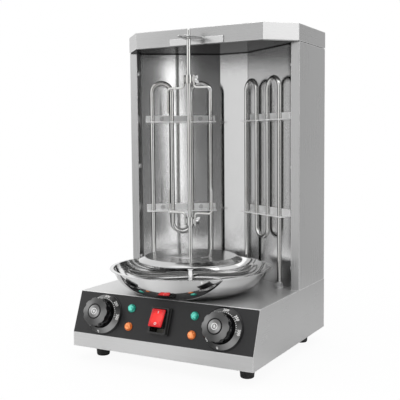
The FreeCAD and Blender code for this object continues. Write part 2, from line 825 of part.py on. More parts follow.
def top_bracket():
    """Strip on the hood's face with a forked tongue that steadies the skewer's top."""
    strip = block(-BRACKET_WIDTH / 2, BRACKET_WIDTH / 2, hood_front - BRACKET_SHEET, hood_front,
                  hood_low, hood_low + BRACKET_HEIGHT)
    end_y = hood_front - TONGUE_REACH + TONGUE_END_RADIUS
    root = TONGUE_ROOT_WIDTH / 2
    high = tongue_z + BRACKET_SHEET
    end = TONGUE_END_RADIUS
    tongue = upright([(-root, hood_front), (-end, end_y), (end, end_y), (root, hood_front)], tongue_z, high)
    tongue = tongue.fuse(pole(end, 0, end_y, tongue_z, high))
    gap = SKEWER_RADIUS + FORK_CLEARANCE
    slot_y = spindle_y + FORK_DEPTH
    slot = block(-gap, gap, end_y - 2 * end, slot_y, tongue_z - 1, high + 1)
    slot = slot.fuse(pole(gap, 0, slot_y, tongue_z - 1, high + 1))
    return strip.fuse(tongue).removeSplitter().cut(slot)


def heater(side):
    """A heating element: one tube bent into two tall arches and a lower loop, with a pin in each end."""
    legs = leg_places()
    low = deck_z - SHEET - TUBE_TAIL
    high = deck_z + HEATER_TOP - TUBE_RADIUS
    loop = deck_z + HEATER_LOOP + TUBE_RADIUS
    heights = [low, high, high, loop, loop, high, high, low]
    points = [V(*legs[i // 2], height) for i, height in enumerate(heights)]
    bar = tube(points, LEG_PITCH / 2, TUBE_RADIUS)
    pins = [pole(PIN_RADIUS, x, y, low - PIN_LENGTH, low) for x, y in (legs[0], legs[-1])]
    return sided(bar.fuse(pins), side)


def heater_foot_nuts():
    """Flanged nuts on the deck round the elements' outer legs, and plain nuts under it."""
    nuts = []
    under = deck_z - SHEET
    for x, y in heater_feet():
        hole = pole(TUBE_RADIUS + RUNNING_CLEARANCE, x, y, under - 2 * NUT_HEIGHT, deck_z + 4 * NUT_HEIGHT)
        flange_top = deck_z + NUT_FLANGE
        top = flange_top + NUT_HEIGHT
        nut = hexagon(NUT_FLATS, x, y, flange_top, top)
        nut = nut.fuse([
            pole(NUT_FLANGE_RADIUS, x, y, deck_z, flange_top),
            pole(TUBE_RADIUS + NUT_SLEEVE_WALL, x, y, top, top + NUT_SLEEVE),
        ])
        nuts.append(nut.removeSplitter().cut(hole))
        nuts.append(hexagon(NUT_FLATS, x, y, under - NUT_HEIGHT, under).cut(hole))
    return nuts


def wall_strip(depth, z0, z1):
    """A strip against the right reflector, as long as a strap."""
    start = FIRST_LEG - STRAP_NEAR_END
    end = FIRST_LEG + 3 * LEG_PITCH + STRAP_FAR_END
    return upright([on_wall(start, 0), on_wall(start, depth), on_wall(end, depth), on_wall(end, 0)], z0, z1)


def strap(side, height):
    """An angle strip on a reflector: its face is screwed to the wall and its lip carries the legs."""
    low = deck_z + height
    face = wall_strip(STRAP_SHEET, low, low + STRAP_FACE)
    lip = wall_strip(HEATER_STANDOFF + STRAP_LIP_MARGIN, low, low + STRAP_SHEET)
    hole = TUBE_RADIUS + RUNNING_CLEARANCE
    tools = [pole(hole, x, y, low - 1, low + 2 * STRAP_SHEET) for x, y in leg_places()]
    facing_in = V(wall_in[0], wall_in[1], 0)
    tools += [screw_hole(place + facing_in * STRAP_SHEET, facing_in) for place in strap_screw_places()]
    return sided(face.fuse(lip).removeSplitter().cut(tools), side)


def shaft_bush():
    """Flanged sleeve on the deck that carries the drive shaft."""
    top = BUSH_FLANGE + BUSH_HEIGHT
    outer = turned([
        (0, -SHEET - LOCK_NUT_HEIGHT), (BUSH_RADIUS, -SHEET - LOCK_NUT_HEIGHT), (BUSH_RADIUS, 0),
        (BUSH_FLANGE_RADIUS, 0), (BUSH_FLANGE_RADIUS, BUSH_FLANGE), (BUSH_RADIUS, BUSH_FLANGE),
        (BUSH_RADIUS, top - BUSH_EDGE), (BUSH_RADIUS - BUSH_EDGE, top), (0, top),
    ], 0, spindle_y, deck_z)
    return outer.cut(pole(SHAFT_RADIUS + RUNNING_CLEARANCE, 0, spindle_y, deck_z - 2 * top, deck_z + 2 * top))


def lock_nuts():
    """The nut that clamps the bush under the deck and the nut on the gland behind the rear panel."""
    sizes = ((BUSH_RADIUS, V(0, spindle_y, deck_z), UP), (GLAND_NOSE_RADIUS, gland_place(), BACK))
    nuts = []
    for radius, place, direction in sizes:
        nut = hexagon(2 * radius + LOCK_NUT_MARGIN, 0, 0, -SHEET - LOCK_NUT_HEIGHT, -SHEET)
        nut = nut.cut(pole(radius + RUNNING_CLEARANCE, 0, 0, -SHEET - LOCK_NUT_HEIGHT - 1, 0))
        nuts.append(facing(nut, place, direction))
    return nuts


def drive_shaft():
    """The motor's output shaft, with a square key on top."""
    shank = pole(SHAFT_RADIUS, 0, spindle_y, motor_top_z - SHAFT_SEAT, hub_low_z)
    return shank.fuse(centred(SHAFT_KEY, SHAFT_KEY, hub_low_z, hub_low_z + SHAFT_KEY_LENGTH, 0, spindle_y))


def gear_motor():
    """Geared motor with two lugs and a recess for its output shaft."""
    low = motor_top_z - MOTOR_HEIGHT
    can = turned([
        (0, 0), (MOTOR_RADIUS - MOTOR_EDGE, 0), (MOTOR_RADIUS, MOTOR_EDGE),
        (MOTOR_RADIUS, MOTOR_HEIGHT - MOTOR_EDGE), (MOTOR_RADIUS - MOTOR_EDGE, MOTOR_HEIGHT), (0, MOTOR_HEIGHT),
    ], 0, spindle_y, low)
    lug_low = motor_top_z - MOTOR_LUG_THICKNESS
    span = MOTOR_LUG_SPAN / 2
    ears = centred(MOTOR_LUG_SPAN, 2 * MOTOR_LUG_RADIUS, lug_low, motor_top_z, 0, spindle_y)
    ends = [pole(MOTOR_LUG_RADIUS, x, spindle_y, lug_low, motor_top_z) for x in (-span, span)]
    neck_y = spindle_y + MOTOR_RADIUS / 2
    neck = centred(MOTOR_NECK_WIDTH, MOTOR_NECK_LENGTH, low - MOTOR_NECK_HEIGHT, low, 0, neck_y)
    body = can.fuse([ears, neck] + ends).removeSplitter()
    hole = SCREW_RADIUS + HOLE_CLEARANCE
    tools = [pole(hole, x, spindle_y, lug_low - 1, motor_top_z + 1) for x in (-span, span)]
    bore = SHAFT_RADIUS + RUNNING_CLEARANCE
    tools.append(pole(bore, 0, spindle_y, motor_top_z - SHAFT_SEAT, motor_top_z + 1))
    return body.cut(tools)


def motor_bracket():
    """Trough-shaped bracket that hangs the motor under the deck."""
    half = MOTOR_BRACKET_SPAN / 2
    under = deck_z - SHEET
    run = [
        (-half - MOTOR_BRACKET_FOOT, under - SHEET), (-half, under - SHEET), (-half, motor_top_z),
        (half, motor_top_z), (half, under - SHEET), (half + MOTOR_BRACKET_FOOT, under - SHEET),
    ]
    outline = folded(run, SHEET)
    y0 = spindle_y - MOTOR_BRACKET_WIDTH / 2
    profile = face_of([V(x, y0, z) for x, z in outline])
    plate = profile.extrude(V(0, MOTOR_BRACKET_WIDTH, 0))
    hole = SCREW_RADIUS + HOLE_CLEARANCE
    over = 3 * SHEET
    tools = [pole(BUSH_RADIUS + SLIP_CLEARANCE, 0, spindle_y, motor_top_z - over, motor_top_z + over)]
    for x in (-MOTOR_LUG_SPAN / 2, MOTOR_LUG_SPAN / 2):
        tools.append(pole(hole, x, spindle_y, motor_top_z - over, motor_top_z + over))
    for x, y in motor_foot_places():
        tools.append(pole(hole, x, y, under - over, under + over))
    return plate.cut(tools)


def motor_screws():
    """Screws through the motor's lugs, and screws that hold its bracket to the deck."""
    screws = []
    lug_low = motor_top_z - MOTOR_LUG_THICKNESS
    for x in (-MOTOR_LUG_SPAN / 2, MOTOR_LUG_SPAN / 2):
        screws.append(pan_screw(V(x, spindle_y, lug_low), -UP, MOTOR_LUG_THICKNESS + 2 * SHEET))
    for x, y in motor_foot_places():
        screws.append(pan_screw(V(x, y, deck_z - 2 * SHEET), -UP, 2 * SHEET))
    return screws


def neck_radius():
    """The bore of the bowl's neck, which goes down round the bush."""
    return BUSH_FLANGE_RADIUS + SLIP_CLEARANCE


def bowl_neck():
    """Sleeve in the bowl's middle that keeps the fat off the shaft."""
    low, high = deck_z, deck_z + BOWL_NECK_HEIGHT
    sleeve = pole(neck_radius() + BOWL_SHEET, 0, spindle_y, low, high)
    return sleeve.cut(pole(neck_radius(), 0, spindle_y, low - 1, high + 1))


def drip_bowl():
    """Wok-shaped bowl with a narrow flat rim and a hole for its neck."""
    hole = neck_radius() + BOWL_SHEET
    wall_top = BOWL_RADIUS - BOWL_RIM
    t = BOWL_SHEET
    mid = ((BOWL_FOOT_RADIUS + wall_top) / 2, BOWL_HEIGHT / 2)
    length = math.hypot(wall_top - BOWL_FOOT_RADIUS, BOWL_HEIGHT)
    out = (BOWL_HEIGHT / length, -(wall_top - BOWL_FOOT_RADIUS) / length)
    bulge = (mid[0] + out[0] * BOWL_BULGE, mid[1] + out[1] * BOWL_BULGE)

    def at(r, h):
        return V(r, spindle_y, deck_z + h)

    inner_bulge = (bulge[0] - out[0] * t, bulge[1] - out[1] * t)
    foot = BOWL_FOOT_RADIUS - t / 3
    edges = [
        Part.makeLine(at(hole, 0), at(BOWL_FOOT_RADIUS, 0)),
        Part.Arc(at(BOWL_FOOT_RADIUS, 0), at(*bulge), at(wall_top, BOWL_HEIGHT - t)).toShape(),
        Part.makeLine(at(wall_top, BOWL_HEIGHT - t), at(BOWL_RADIUS, BOWL_HEIGHT - t)),
        Part.makeLine(at(BOWL_RADIUS, BOWL_HEIGHT - t), at(BOWL_RADIUS, BOWL_HEIGHT)),
        Part.makeLine(at(BOWL_RADIUS, BOWL_HEIGHT), at(wall_top - t, BOWL_HEIGHT)),
        Part.Arc(at(wall_top - t, BOWL_HEIGHT), at(*inner_bulge), at(foot, t)).toShape(),
        Part.makeLine(at(foot, t), at(hole, t)),
        Part.makeLine(at(hole, t), at(hole, 0)),
    ]
    return Part.Face(Part.Wire(edges)).revolve(V(0, spindle_y, 0), UP, 360)


def meat_plate():
    """Round plate with a bevelled edge, a raised middle and a hub with square sockets below and above."""
    top = PLATE_TOP
    sheet = PLATE_SHEET
    edge = top - PLATE_DROP
    boss = PLATE_BOSS_RADIUS
    boss_top = boss - PLATE_BOSS_EDGE
    rise = top + PLATE_BOSS_RISE
    shift = PLATE_FOLD_SHIFT
    inner = PLATE_RADIUS - sheet
    outline = [
        (0, rise), (boss_top, rise), (boss, top), (PLATE_FLAT_RADIUS, top), (PLATE_RADIUS, edge),
        (PLATE_RADIUS, edge - PLATE_LIP), (inner, edge - PLATE_LIP), (inner, edge - shift),
        (PLATE_FLAT_RADIUS - shift, top - sheet), (boss - shift, top - sheet), (boss_top - shift, rise - sheet),
        (HUB_RADIUS, rise - sheet), (HUB_RADIUS, top - HUB_DROP), (0, top - HUB_DROP),
    ]
    plate = turned(outline, 0, spindle_y, deck_z)
    lower = SHAFT_KEY + 2 * KEY_CLEARANCE
    upper = SKEWER_KEY + 2 * KEY_CLEARANCE
    lower_end = hub_low_z + SHAFT_KEY_LENGTH + SLIP_CLEARANCE
    upper_end = skewer_foot_z - SKEWER_KEY_LENGTH - SLIP_CLEARANCE
    tools = [
        centred(lower, lower, hub_low_z - 1, lower_end, 0, spindle_y),
        centred(upper, upper, upper_end, skewer_foot_z + 1, 0, spindle_y),
    ]
    return plate.cut(tools)


def skewer():
    """Round rod with a square foot and a slightly tapered, rounded top."""
    top = SKEWER_LENGTH
    shank = turned([
        (0, 0), (SKEWER_RADIUS, 0), (SKEWER_RADIUS, top - SKEWER_TAPER), (SKEWER_TOP_RADIUS, top - SKEWER_TIP),
        (SKEWER_TOP_RADIUS - SKEWER_TIP, top), (0, top),
    ], 0, spindle_y, skewer_foot_z)
    foot = centred(SKEWER_KEY, SKEWER_KEY, skewer_foot_z - SKEWER_KEY_LENGTH, skewer_foot_z, 0, spindle_y)
    return shank.fuse(foot)


def thumb_direction():
    """The way that the clips' thumbscrews point."""
    angle = math.radians(THUMB_ANGLE)
    return V(math.cos(angle), math.sin(angle), 0)


def clip_prong_wires():
    """Both prongs of a clip round the origin, points down."""
    top = COLLAR_HEIGHT / 2
    wires = []
    for side in (1, -1):
        points = [
            V(side * PRONG_ROOT, 0, top), V(side * PRONG_ROOT, 0, -PRONG_DROP),
            V(side * PRONG_REACH, 0, -PRONG_DROP), V(side * PRONG_REACH, 0, PRONG_POINT - PRONG_LENGTH),
        ]
        point = Part.makeCone(PRONG_RADIUS, PRONG_TIP_RADIUS, PRONG_POINT, points[-1], -UP)
        wires.append(tube(points, PRONG_BEND, PRONG_RADIUS).fuse(point))
    return wires


def clip_collar_solid():
    """The collar of a clip round the origin, with lugs for the prongs and a boss for the thumbscrew."""
    half = COLLAR_HEIGHT / 2
    barrel = pole(COLLAR_RADIUS, 0, 0, -half, half)
    lugs = centred(2 * PRONG_ROOT, PRONG_RADIUS, -LUG_HEIGHT / 2, LUG_HEIGHT / 2)
    boss = rod(THUMB_BOSS_RADIUS, ORIGIN, thumb_direction() * THUMB_BOSS_REACH)
    body = barrel.fuse([lugs, boss]).removeSplitter()
    hole = rod(THUMB_RADIUS + RUNNING_CLEARANCE, ORIGIN, thumb_direction() * (THUMB_BOSS_REACH + 1))
    bore = pole(SKEWER_RADIUS + RUNNING_CLEARANCE, 0, 0, -half - 1, half + 1)
    return body.cut([bore, hole] + clip_prong_wires())


def thumbscrew_solid():
    """A thumbscrew through a clip's boss, with two wings."""
    low = THUMB_BOSS_REACH + THUMB_GAP
    hub_top = low + THUMB_HUB_LENGTH
    shank = pole(THUMB_RADIUS, 0, 0, SKEWER_RADIUS + SLIP_CLEARANCE, hub_top)
    hub = pole(THUMB_HUB_RADIUS, 0, 0, low, hub_top)
    top = low + WING_LENGTH
    root, notch, tip = WING_ROOT / 2, WING_NOTCH / 2, WING_WIDTH / 2
    outline = [
        (-root, low), (root, low), (tip, top - WING_TIP), (tip, top), (notch, top), (0, hub_top),
        (-notch, top), (-tip, top), (-tip, top - WING_TIP),
    ]
    wing = face_of([V(x, -WING_THICKNESS / 2, z) for x, z in outline]).extrude(V(0, WING_THICKNESS, 0))
    screw = shank.fuse([hub, wing]).removeSplitter()
    screw.rotate(ORIGIN, UP, WING_TURN)
    return facing(screw, ORIGIN, thumb_direction())


def on_skewer(shape, height, points_up=False):
    """A clip part moved from the origin to its height on the skewer, turned over if its prongs point up."""
    placed = shape.mirror(ORIGIN, UP) if points_up else shape.copy()
    placed.translate(V(0, spindle_y, deck_z + height))
    return placed


def control_panel():
    """Thin dark facing on the sloping front."""
    width = BASE_WIDTH - 2 * PANEL_FROM_SIDE
    plate = on_slope(centred(width, slope_length - 2 * PANEL_FROM_BEND, 0, PANEL_SHEET))
    return plate.cut(slope_cutouts())


def dial(side):
    """Conical scale ring whose crest stands round the knob's foot, with a flat floor under the knob."""
    lip = DIAL_RADIUS - DIAL_LIP
    outline = [
        (DIAL_HOLE_RADIUS, 0), (DIAL_RADIUS, 0), (DIAL_RADIUS, DIAL_LIP_RISE / 2), (lip, DIAL_LIP_RISE),
        (DIAL_CREST_RADIUS, DIAL_CREST), (DIAL_WELL_RADIUS, DIAL_CREST), (DIAL_WELL_RADIUS, DIAL_FLOOR),
        (DIAL_HOLE_RADIUS, DIAL_FLOOR),
    ]
    return on_slope(turned(outline, side * knob_x, 0, PANEL_SHEET))


def knob(side):
    """Scalloped knob that widens towards its domed face, with a groove round a raised cap."""
    x = side * knob_x
    flank = KNOB_EDGE * (1 - math.sqrt(0.5))
    dome = KNOB_HEIGHT + KNOB_DOME
    groove = KNOB_CAP_RADIUS + KNOB_GROOVE
    groove_floor = dome - KNOB_GROOVE / 2
    cap_top = dome + KNOB_CAP_RISE
    body = turned([
        (0, 0), (KNOB_FOOT_RADIUS, 0), (KNOB_RADIUS, KNOB_HEIGHT - KNOB_EDGE),
        (KNOB_RADIUS - flank, KNOB_HEIGHT - flank), (KNOB_RADIUS - KNOB_EDGE, KNOB_HEIGHT), (groove, dome),
        (groove, groove_floor), (KNOB_CAP_RADIUS, groove_floor), (KNOB_CAP_RADIUS, cap_top), (0, cap_top),
    ], x, 0, knob_low)
    tools = [pole(THERMOSTAT_SHAFT_RADIUS + RUNNING_CLEARANCE, x, 0, knob_low - 1, shaft_end())]
    ring = KNOB_RADIUS + KNOB_LOBE_RADIUS - KNOB_LOBE_DEPTH
    for i in range(KNOB_LOBES):
        angle = math.radians(360 / KNOB_LOBES * (i + 0.5))
        lobe_x, lobe_y = x + ring * math.cos(angle), ring * math.sin(angle)
        tools.append(pole(KNOB_LOBE_RADIUS, lobe_x, lobe_y, knob_low - 1, knob_low + cap_top))
    return on_slope(body.cut(tools))


def shaft_end():
    """How far the thermostat's shaft reaches out of the slope."""
    return knob_low + THERMOSTAT_SHAFT_LENGTH


def thermostat_shaft(side):
    """Shaft from inside a thermostat into its knob."""
    x = side * knob_x
    return on_slope(pole(THERMOSTAT_SHAFT_RADIUS, x, 0, -SHEET - THERMOSTAT_DEPTH / 2, shaft_end()))


def thermostat(side):
    """Body of a thermostat behind the panel, with its threaded nose and two blade terminals."""
    x = side * knob_x
    low = -SHEET - THERMOSTAT_DEPTH
    parts = [pole(THERMOSTAT_NOSE_RADIUS, x, 0, -SHEET, dial_floor - SLIP_CLEARANCE)]
    for shift in (-THERMOSTAT_WIDTH / 4, THERMOSTAT_WIDTH / 4):
        parts.append(centred(BLADE_WIDTH, BLADE_THICKNESS, low - BLADE_LENGTH, low, x + shift))
    body = centred(THERMOSTAT_WIDTH, THERMOSTAT_LENGTH, low, -SHEET, x).fuse(parts).removeSplitter()
    radius = THERMOSTAT_SHAFT_RADIUS + RUNNING_CLEARANCE
    return on_slope(body.cut(pole(radius, x, 0, -SHEET - THERMOSTAT_DEPTH / 2, dial_floor + 1)))


def lamp_lenses(rise):
    """The pair of domed lenses at one height on the panel."""
    low = LAMP_FLANGE + LAMP_DOME_SHOULDER
    outline = [(0, 0), (LAMP_RADIUS, 0), (LAMP_RADIUS, LAMP_FLANGE)]
    for i in range(LAMP_DOME_STEPS):
        angle = math.radians(90 * i / LAMP_DOME_STEPS)
        outline.append((LAMP_DOME_RADIUS * math.cos(angle), low + (LAMP_HEIGHT - low) * math.sin(angle)))
    outline.append((0, LAMP_HEIGHT))
    return [on_slope(turned(outline, side * lamp_x, rise, PANEL_SHEET)) for side in (-1, 1)]


def lamp_bodies():
    """The four lamps' barrels behind the panel, each with its nut."""
    bodies = []
    for side in (-1, 1):
        for rise in (-LAMP_SPREAD, LAMP_SPREAD):
            x = side * lamp_x
            barrel = pole(LAMP_BODY_RADIUS, x, rise, -LAMP_BODY_LENGTH, PANEL_SHEET)
            hole = pole(LAMP_BODY_RADIUS + RUNNING_CLEARANCE, x, rise, -LAMP_BODY_LENGTH, 0)
            nut = hexagon(LAMP_NUT_FLATS, x, rise, -SHEET - LAMP_NUT_HEIGHT, -SHEET).cut(hole)
            bodies += [on_slope(barrel), on_slope(nut)]
    return bodies


def switch_frame():
    """Stepped frame of the rocker switch with a barrel through the panel."""
    width, length = rocker_opening()
    barrel_width, barrel_length = barrel_size()
    low = PANEL_SHEET
    foot = centred(SWITCH_WIDTH, SWITCH_LENGTH, low, low + SWITCH_STEP)
    step = 2 * SWITCH_STEP_IN
    collar = centred(SWITCH_WIDTH - step, SWITCH_LENGTH - step, low, low + SWITCH_RISE)
    barrel = centred(barrel_width, barrel_length, -SWITCH_BARREL_DEPTH, low)
    frame = foot.fuse([collar, barrel]).removeSplitter()
    opening = centred(width, length, -SWITCH_BARREL_DEPTH - 1, low + SWITCH_RISE + 1)
    reach = width / 2 + ROCKER_PIN_REACH + SLIP_CLEARANCE
    ends = V(-reach, 0, ROCKER_PIVOT), V(reach, 0, ROCKER_PIVOT)
    pivot = rod(ROCKER_PIN_RADIUS + RUNNING_CLEARANCE, *ends)
    return on_slope(frame.cut([opening, pivot]))


def switch_body():
    """Contact block behind the rocker, with four blade terminals."""
    width, length = barrel_size()
    low = -SWITCH_BARREL_DEPTH - SWITCH_BODY_DEPTH
    blades = []
    for x in (-width / 4, width / 4):
        for y in (-length / 4, length / 4):
            blades.append(centred(BLADE_THICKNESS, BLADE_WIDTH, low - BLADE_LENGTH, low, x, y))
    return on_slope(centred(width, length, low, -SWITCH_BARREL_DEPTH).fuse(blades).removeSplitter())


def rocker():
    """Lit rocker on two stub pins, pressed in at its upper end."""
    half = ROCKER_LENGTH / 2
    waist = half - ROCKER_SHOULDER
    profile = [
        (-half, ROCKER_RISE), (0, ROCKER_RISE - ROCKER_DISH), (half, ROCKER_RISE), (waist, ROCKER_SHOULDER),
        (half / 2, -ROCKER_KEEL), (-half / 2, -ROCKER_KEEL), (-waist, ROCKER_SHOULDER),
    ]
    body = crosswise(profile, -ROCKER_WIDTH / 2, ROCKER_WIDTH / 2)
    reach = rocker_opening()[0] / 2 + ROCKER_PIN_REACH
    lever = body.fuse(rod(ROCKER_PIN_RADIUS, V(-reach, 0, 0), V(reach, 0, 0)))
    lever.rotate(ORIGIN, RIGHT, -ROCKER_TILT)
    lever.translate(V(0, 0, ROCKER_PIVOT))
    return on_slope(lever)


def cable_gland():
    """Mains inlet at the rear: a flanged sleeve with a nut inside the base."""
    outline = [
        (0, -GLAND_INSIDE), (GLAND_NOSE_RADIUS, -GLAND_INSIDE), (GLAND_NOSE_RADIUS, 0), (GLAND_RADIUS, 0),
        (GLAND_RADIUS, GLAND_COLLAR), (GLAND_NOSE_RADIUS, GLAND_COLLAR + GLAND_SHOULDER),
        (GLAND_TIP_RADIUS, GLAND_REACH), (0, GLAND_REACH),
    ]
    sleeve = turned(outline).cut(pole(GLAND_BORE_RADIUS, 0, 0, -GLAND_INSIDE - 1, GLAND_REACH + 1))
    return facing(sleeve, gland_place(), BACK)


def terminal_block():
    """Row of screw terminals on the floor."""
    low = floor_z + SHEET
    y = rear_y - BLOCK_SETBACK
    body = centred(BLOCK_LENGTH, BLOCK_WIDTH, low, low + BLOCK_SHOULDER, 0, y)
    body = body.fuse(centred(BLOCK_LENGTH, BLOCK_RIDGE, low, low + BLOCK_HEIGHT, 0, y)).removeSplitter()
    wells = []
    for i in range(BLOCK_WAYS):
        place = terminal_place(i - (BLOCK_WAYS - 1) / 2)
        wells.append(pole(WELL_RADIUS, place.x, place.y, place.z, low + BLOCK_HEIGHT + 1))
    return body.cut(wells)


def terminal_place(way):
    """The bottom of a terminal's well, counted from the middle one."""
    low = floor_z + SHEET + BLOCK_HEIGHT - WELL_DEPTH
    return V(way * BLOCK_LENGTH / BLOCK_WAYS, rear_y - BLOCK_SETBACK, low)


def behind_slope(x, rise, depth):
    """A point behind the sloping front, from its place on the slope and its depth."""
    tilt = math.radians(slope_tilt)
    y = slope_mid_y + rise * math.sin(tilt) + depth * math.cos(tilt)
    return V(x, y, slope_mid_z + rise * math.cos(tilt) - depth * math.sin(tilt))


def behind_slope_lead(x, rise, depth, lead):
    """The first two points of a wire that leaves a terminal behind the slope."""
    return [behind_slope(x, rise, depth), behind_slope(x, rise, depth + lead)]


def wires():
    """Insulated wires between the terminals, the switch, the thermostats, the elements and the motor."""
    legs = leg_places()
    pin_z = deck_z - SHEET - TUBE_TAIL - PIN_LENGTH
    thermostat_depth = SHEET + THERMOSTAT_DEPTH + BLADE_LENGTH
    switch_depth = SWITCH_BARREL_DEPTH + SWITCH_BODY_DEPTH + BLADE_LENGTH
    width, length = barrel_size()
    inner_x = knob_x - THERMOSTAT_WIDTH / 4
    outer_x = knob_x + THERMOSTAT_WIDTH / 4
    lead = 2 * WIRE_BEND
    far, near = terminal_place(2), terminal_place(1)
    run_z = far.z + 2 * lead
    front_pin, back_pin = V(*legs[0], pin_z), V(*legs[-1], pin_z)
    under_back = back_pin - UP * 1.5 * lead
    supply = behind_slope_lead(inner_x, 0, thermostat_depth, lead)
    supply += [V(inner_x, far.y, run_z), V(far.x, far.y, run_z), far]
    element = behind_slope_lead(outer_x, 0, thermostat_depth, lead) + [front_pin - UP * lead, front_pin]
    live = behind_slope_lead(width / 4, -length / 4, switch_depth, lead) + [V(near.x, near.y, run_z), near]
    switched = behind_slope_lead(width / 4, length / 4, switch_depth, lead / 2)
    switched += [V(back_pin.x, spindle_y - MOTOR_RADIUS, under_back.z), under_back, back_pin]
    made = []
    for route in (supply, element, live, switched):
        wire = tube(route, WIRE_BEND, WIRE_RADIUS)
        made += [sided(wire, 1), sided(wire, -1)]
    neck = V(0, spindle_y + MOTOR_RADIUS / 2, motor_top_z - MOTOR_HEIGHT - MOTOR_NECK_HEIGHT)
    middle = terminal_place(0)
    drop = neck - UP * lead
    made.append(tube([neck, drop, V(0, middle.y, drop.z), middle], WIRE_BEND, WIRE_RADIUS))
    return made


def rear_screws():
    """Screws of both rear panels."""
    screws = [pan_screw(V(x, tower_rear, z), BACK) for x, z in tower_rear_screws()]
    return screws + [pan_screw(V(x, rear_y, z), BACK) for x, z in base_rear_screws()]


def nodes():
    """Every node of the object by its name."""
    collar = clip_collar_solid()
    prongs = clip_prong_wires()
    thumb = thumbscrew_solid()
    made = {
        "base_cover": base_cover(),
        "base_floor": base_floor(),
        "base_rear_panel": base_rear_panel(),
        "rubber_feet": rubber_feet(),
        "foot_screws": foot_screws(),
        "tower_rear_panel": tower_rear_panel(),
        "back_reflector": back_reflector(),
        "reflector_screws": reflector_screws(),
        "tower_bolts": tower_bolts(),
        "hood_shell": hood_shell(),
        "hood_ceiling": hood_ceiling(),
        "top_bracket": top_bracket(),
        "heater_foot_nuts": heater_foot_nuts(),
        "shaft_bush": shaft_bush(),
        "lock_nuts": lock_nuts(),
        "drive_shaft": drive_shaft(),
        "gear_motor": gear_motor(),
        "motor_bracket": motor_bracket(),
        "motor_screws": motor_screws(),
        "drip_bowl": drip_bowl(),
        "bowl_neck": bowl_neck(),
        "meat_plate": meat_plate(),
        "skewer": skewer(),
        "upper_clip_collar": on_skewer(collar, UPPER_CLIP_HEIGHT),
        "upper_clip_prongs": [on_skewer(prong, UPPER_CLIP_HEIGHT) for prong in prongs],
        "upper_thumbscrew": on_skewer(thumb, UPPER_CLIP_HEIGHT),
        "lower_clip_collar": on_skewer(collar, LOWER_CLIP_HEIGHT, True),
        "lower_clip_prongs": [on_skewer(prong, LOWER_CLIP_HEIGHT, True) for prong in prongs],
        "lower_thumbscrew": on_skewer(thumb, LOWER_CLIP_HEIGHT, True),
        "control_panel": control_panel(),
        "green_lenses": lamp_lenses(LAMP_SPREAD),
        "orange_lenses": lamp_lenses(-LAMP_SPREAD),
        "lamp_bodies": lamp_bodies(),
        "switch_frame": switch_frame(),
        "switch_body": switch_body(),
        "switch_rocker": rocker(),
        "cable_gland": cable_gland(),
        "terminal_block": terminal_block(),
        "wires": wires(),
        "rear_screws": rear_screws(),
    }
    for side, word in ((1, "right"), (-1, "left")):
        made["base_side_" + word] = base_side(side)
        made["tower_side_" + word] = tower_side(side)
        made["reflector_" + word] = side_reflector(side)
        made["heater_" + word] = heater(side)
        made["upper_strap_" + word] = strap(side, UPPER_STRAP)
        made["lower_strap_" + word] = strap(side, LOWER_STRAP)
        made["dial_" + word] = dial(side)
        made["knob_" + word] = knob(side)
        made["thermostat_" + word] = thermostat(side)
        made["thermostat_shaft_" + word] = thermostat_shaft(side)
    return made


def main():
    """Writes each node to its own file."""
    os.makedirs("parts", exist_ok=True)
    for name, shape in nodes().items():
        solids = shape if isinstance(shape, list) else [shape]
        whole = Part.makeCompound([solid for piece in solids for solid in piece.Solids])
        assert whole.isValid(), name
        whole.exportStep(os.path.join("parts", name + ".step"))
        print(name, len(whole.Solids), round(whole.Volume, 1))


main()
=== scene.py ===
"""Looks of a vertical rotisserie: brushed housing, mirror-bright cooking parts and a lit control panel.

Metres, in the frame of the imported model. The sheet-metal nodes keep their shapes and get their finishes here.
Round, bent and moulded parts are made again as fine surfaces.
"""

import logging
import math
from dataclasses import dataclass
from enum import Enum

import bmesh
import bpy
import numpy as np
from mathutils import Matrix, Vector


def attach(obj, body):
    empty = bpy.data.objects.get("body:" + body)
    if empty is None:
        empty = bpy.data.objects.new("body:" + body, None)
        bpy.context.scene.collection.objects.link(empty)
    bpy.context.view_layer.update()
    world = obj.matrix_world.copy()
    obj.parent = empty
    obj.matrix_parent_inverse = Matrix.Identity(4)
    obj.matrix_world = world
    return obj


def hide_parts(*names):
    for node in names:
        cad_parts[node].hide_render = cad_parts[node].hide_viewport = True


logging.basicConfig(level=logging.INFO, format="%(message)s")
LOG = logging.getLogger("rotisserie")

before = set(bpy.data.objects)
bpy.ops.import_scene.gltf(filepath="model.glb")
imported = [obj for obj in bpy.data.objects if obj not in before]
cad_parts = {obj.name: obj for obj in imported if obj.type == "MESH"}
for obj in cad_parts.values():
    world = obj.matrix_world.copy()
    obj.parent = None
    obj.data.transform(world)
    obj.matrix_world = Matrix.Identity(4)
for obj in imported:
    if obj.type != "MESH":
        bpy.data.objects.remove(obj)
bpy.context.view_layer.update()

MM = 0.001
# Points that round to the same step of this fineness are one point.
WELDS_PER_METRE = 1e7
# A length in metres and an angle in radians that count as none.
SHORT = 1e-7
STRAIGHT = 1e-3
WHITE = (1.0, 1.0, 1.0)
Colour = tuple[float, float, float]
Point = tuple[float, float, float]
Socket = bpy.types.NodeSocket


class Brush(Enum):
    """The way a sheet's brushing runs, by how tightly the streaks pack along x, y and z."""

    ALONG_X = (4.0, 900.0, 900.0)
    ALONG_Y = (900.0, 4.0, 900.0)
    ALONG_Z = (900.0, 900.0, 4.0)
    LEVEL = (4.0, 4.0, 900.0)


# Shader graph


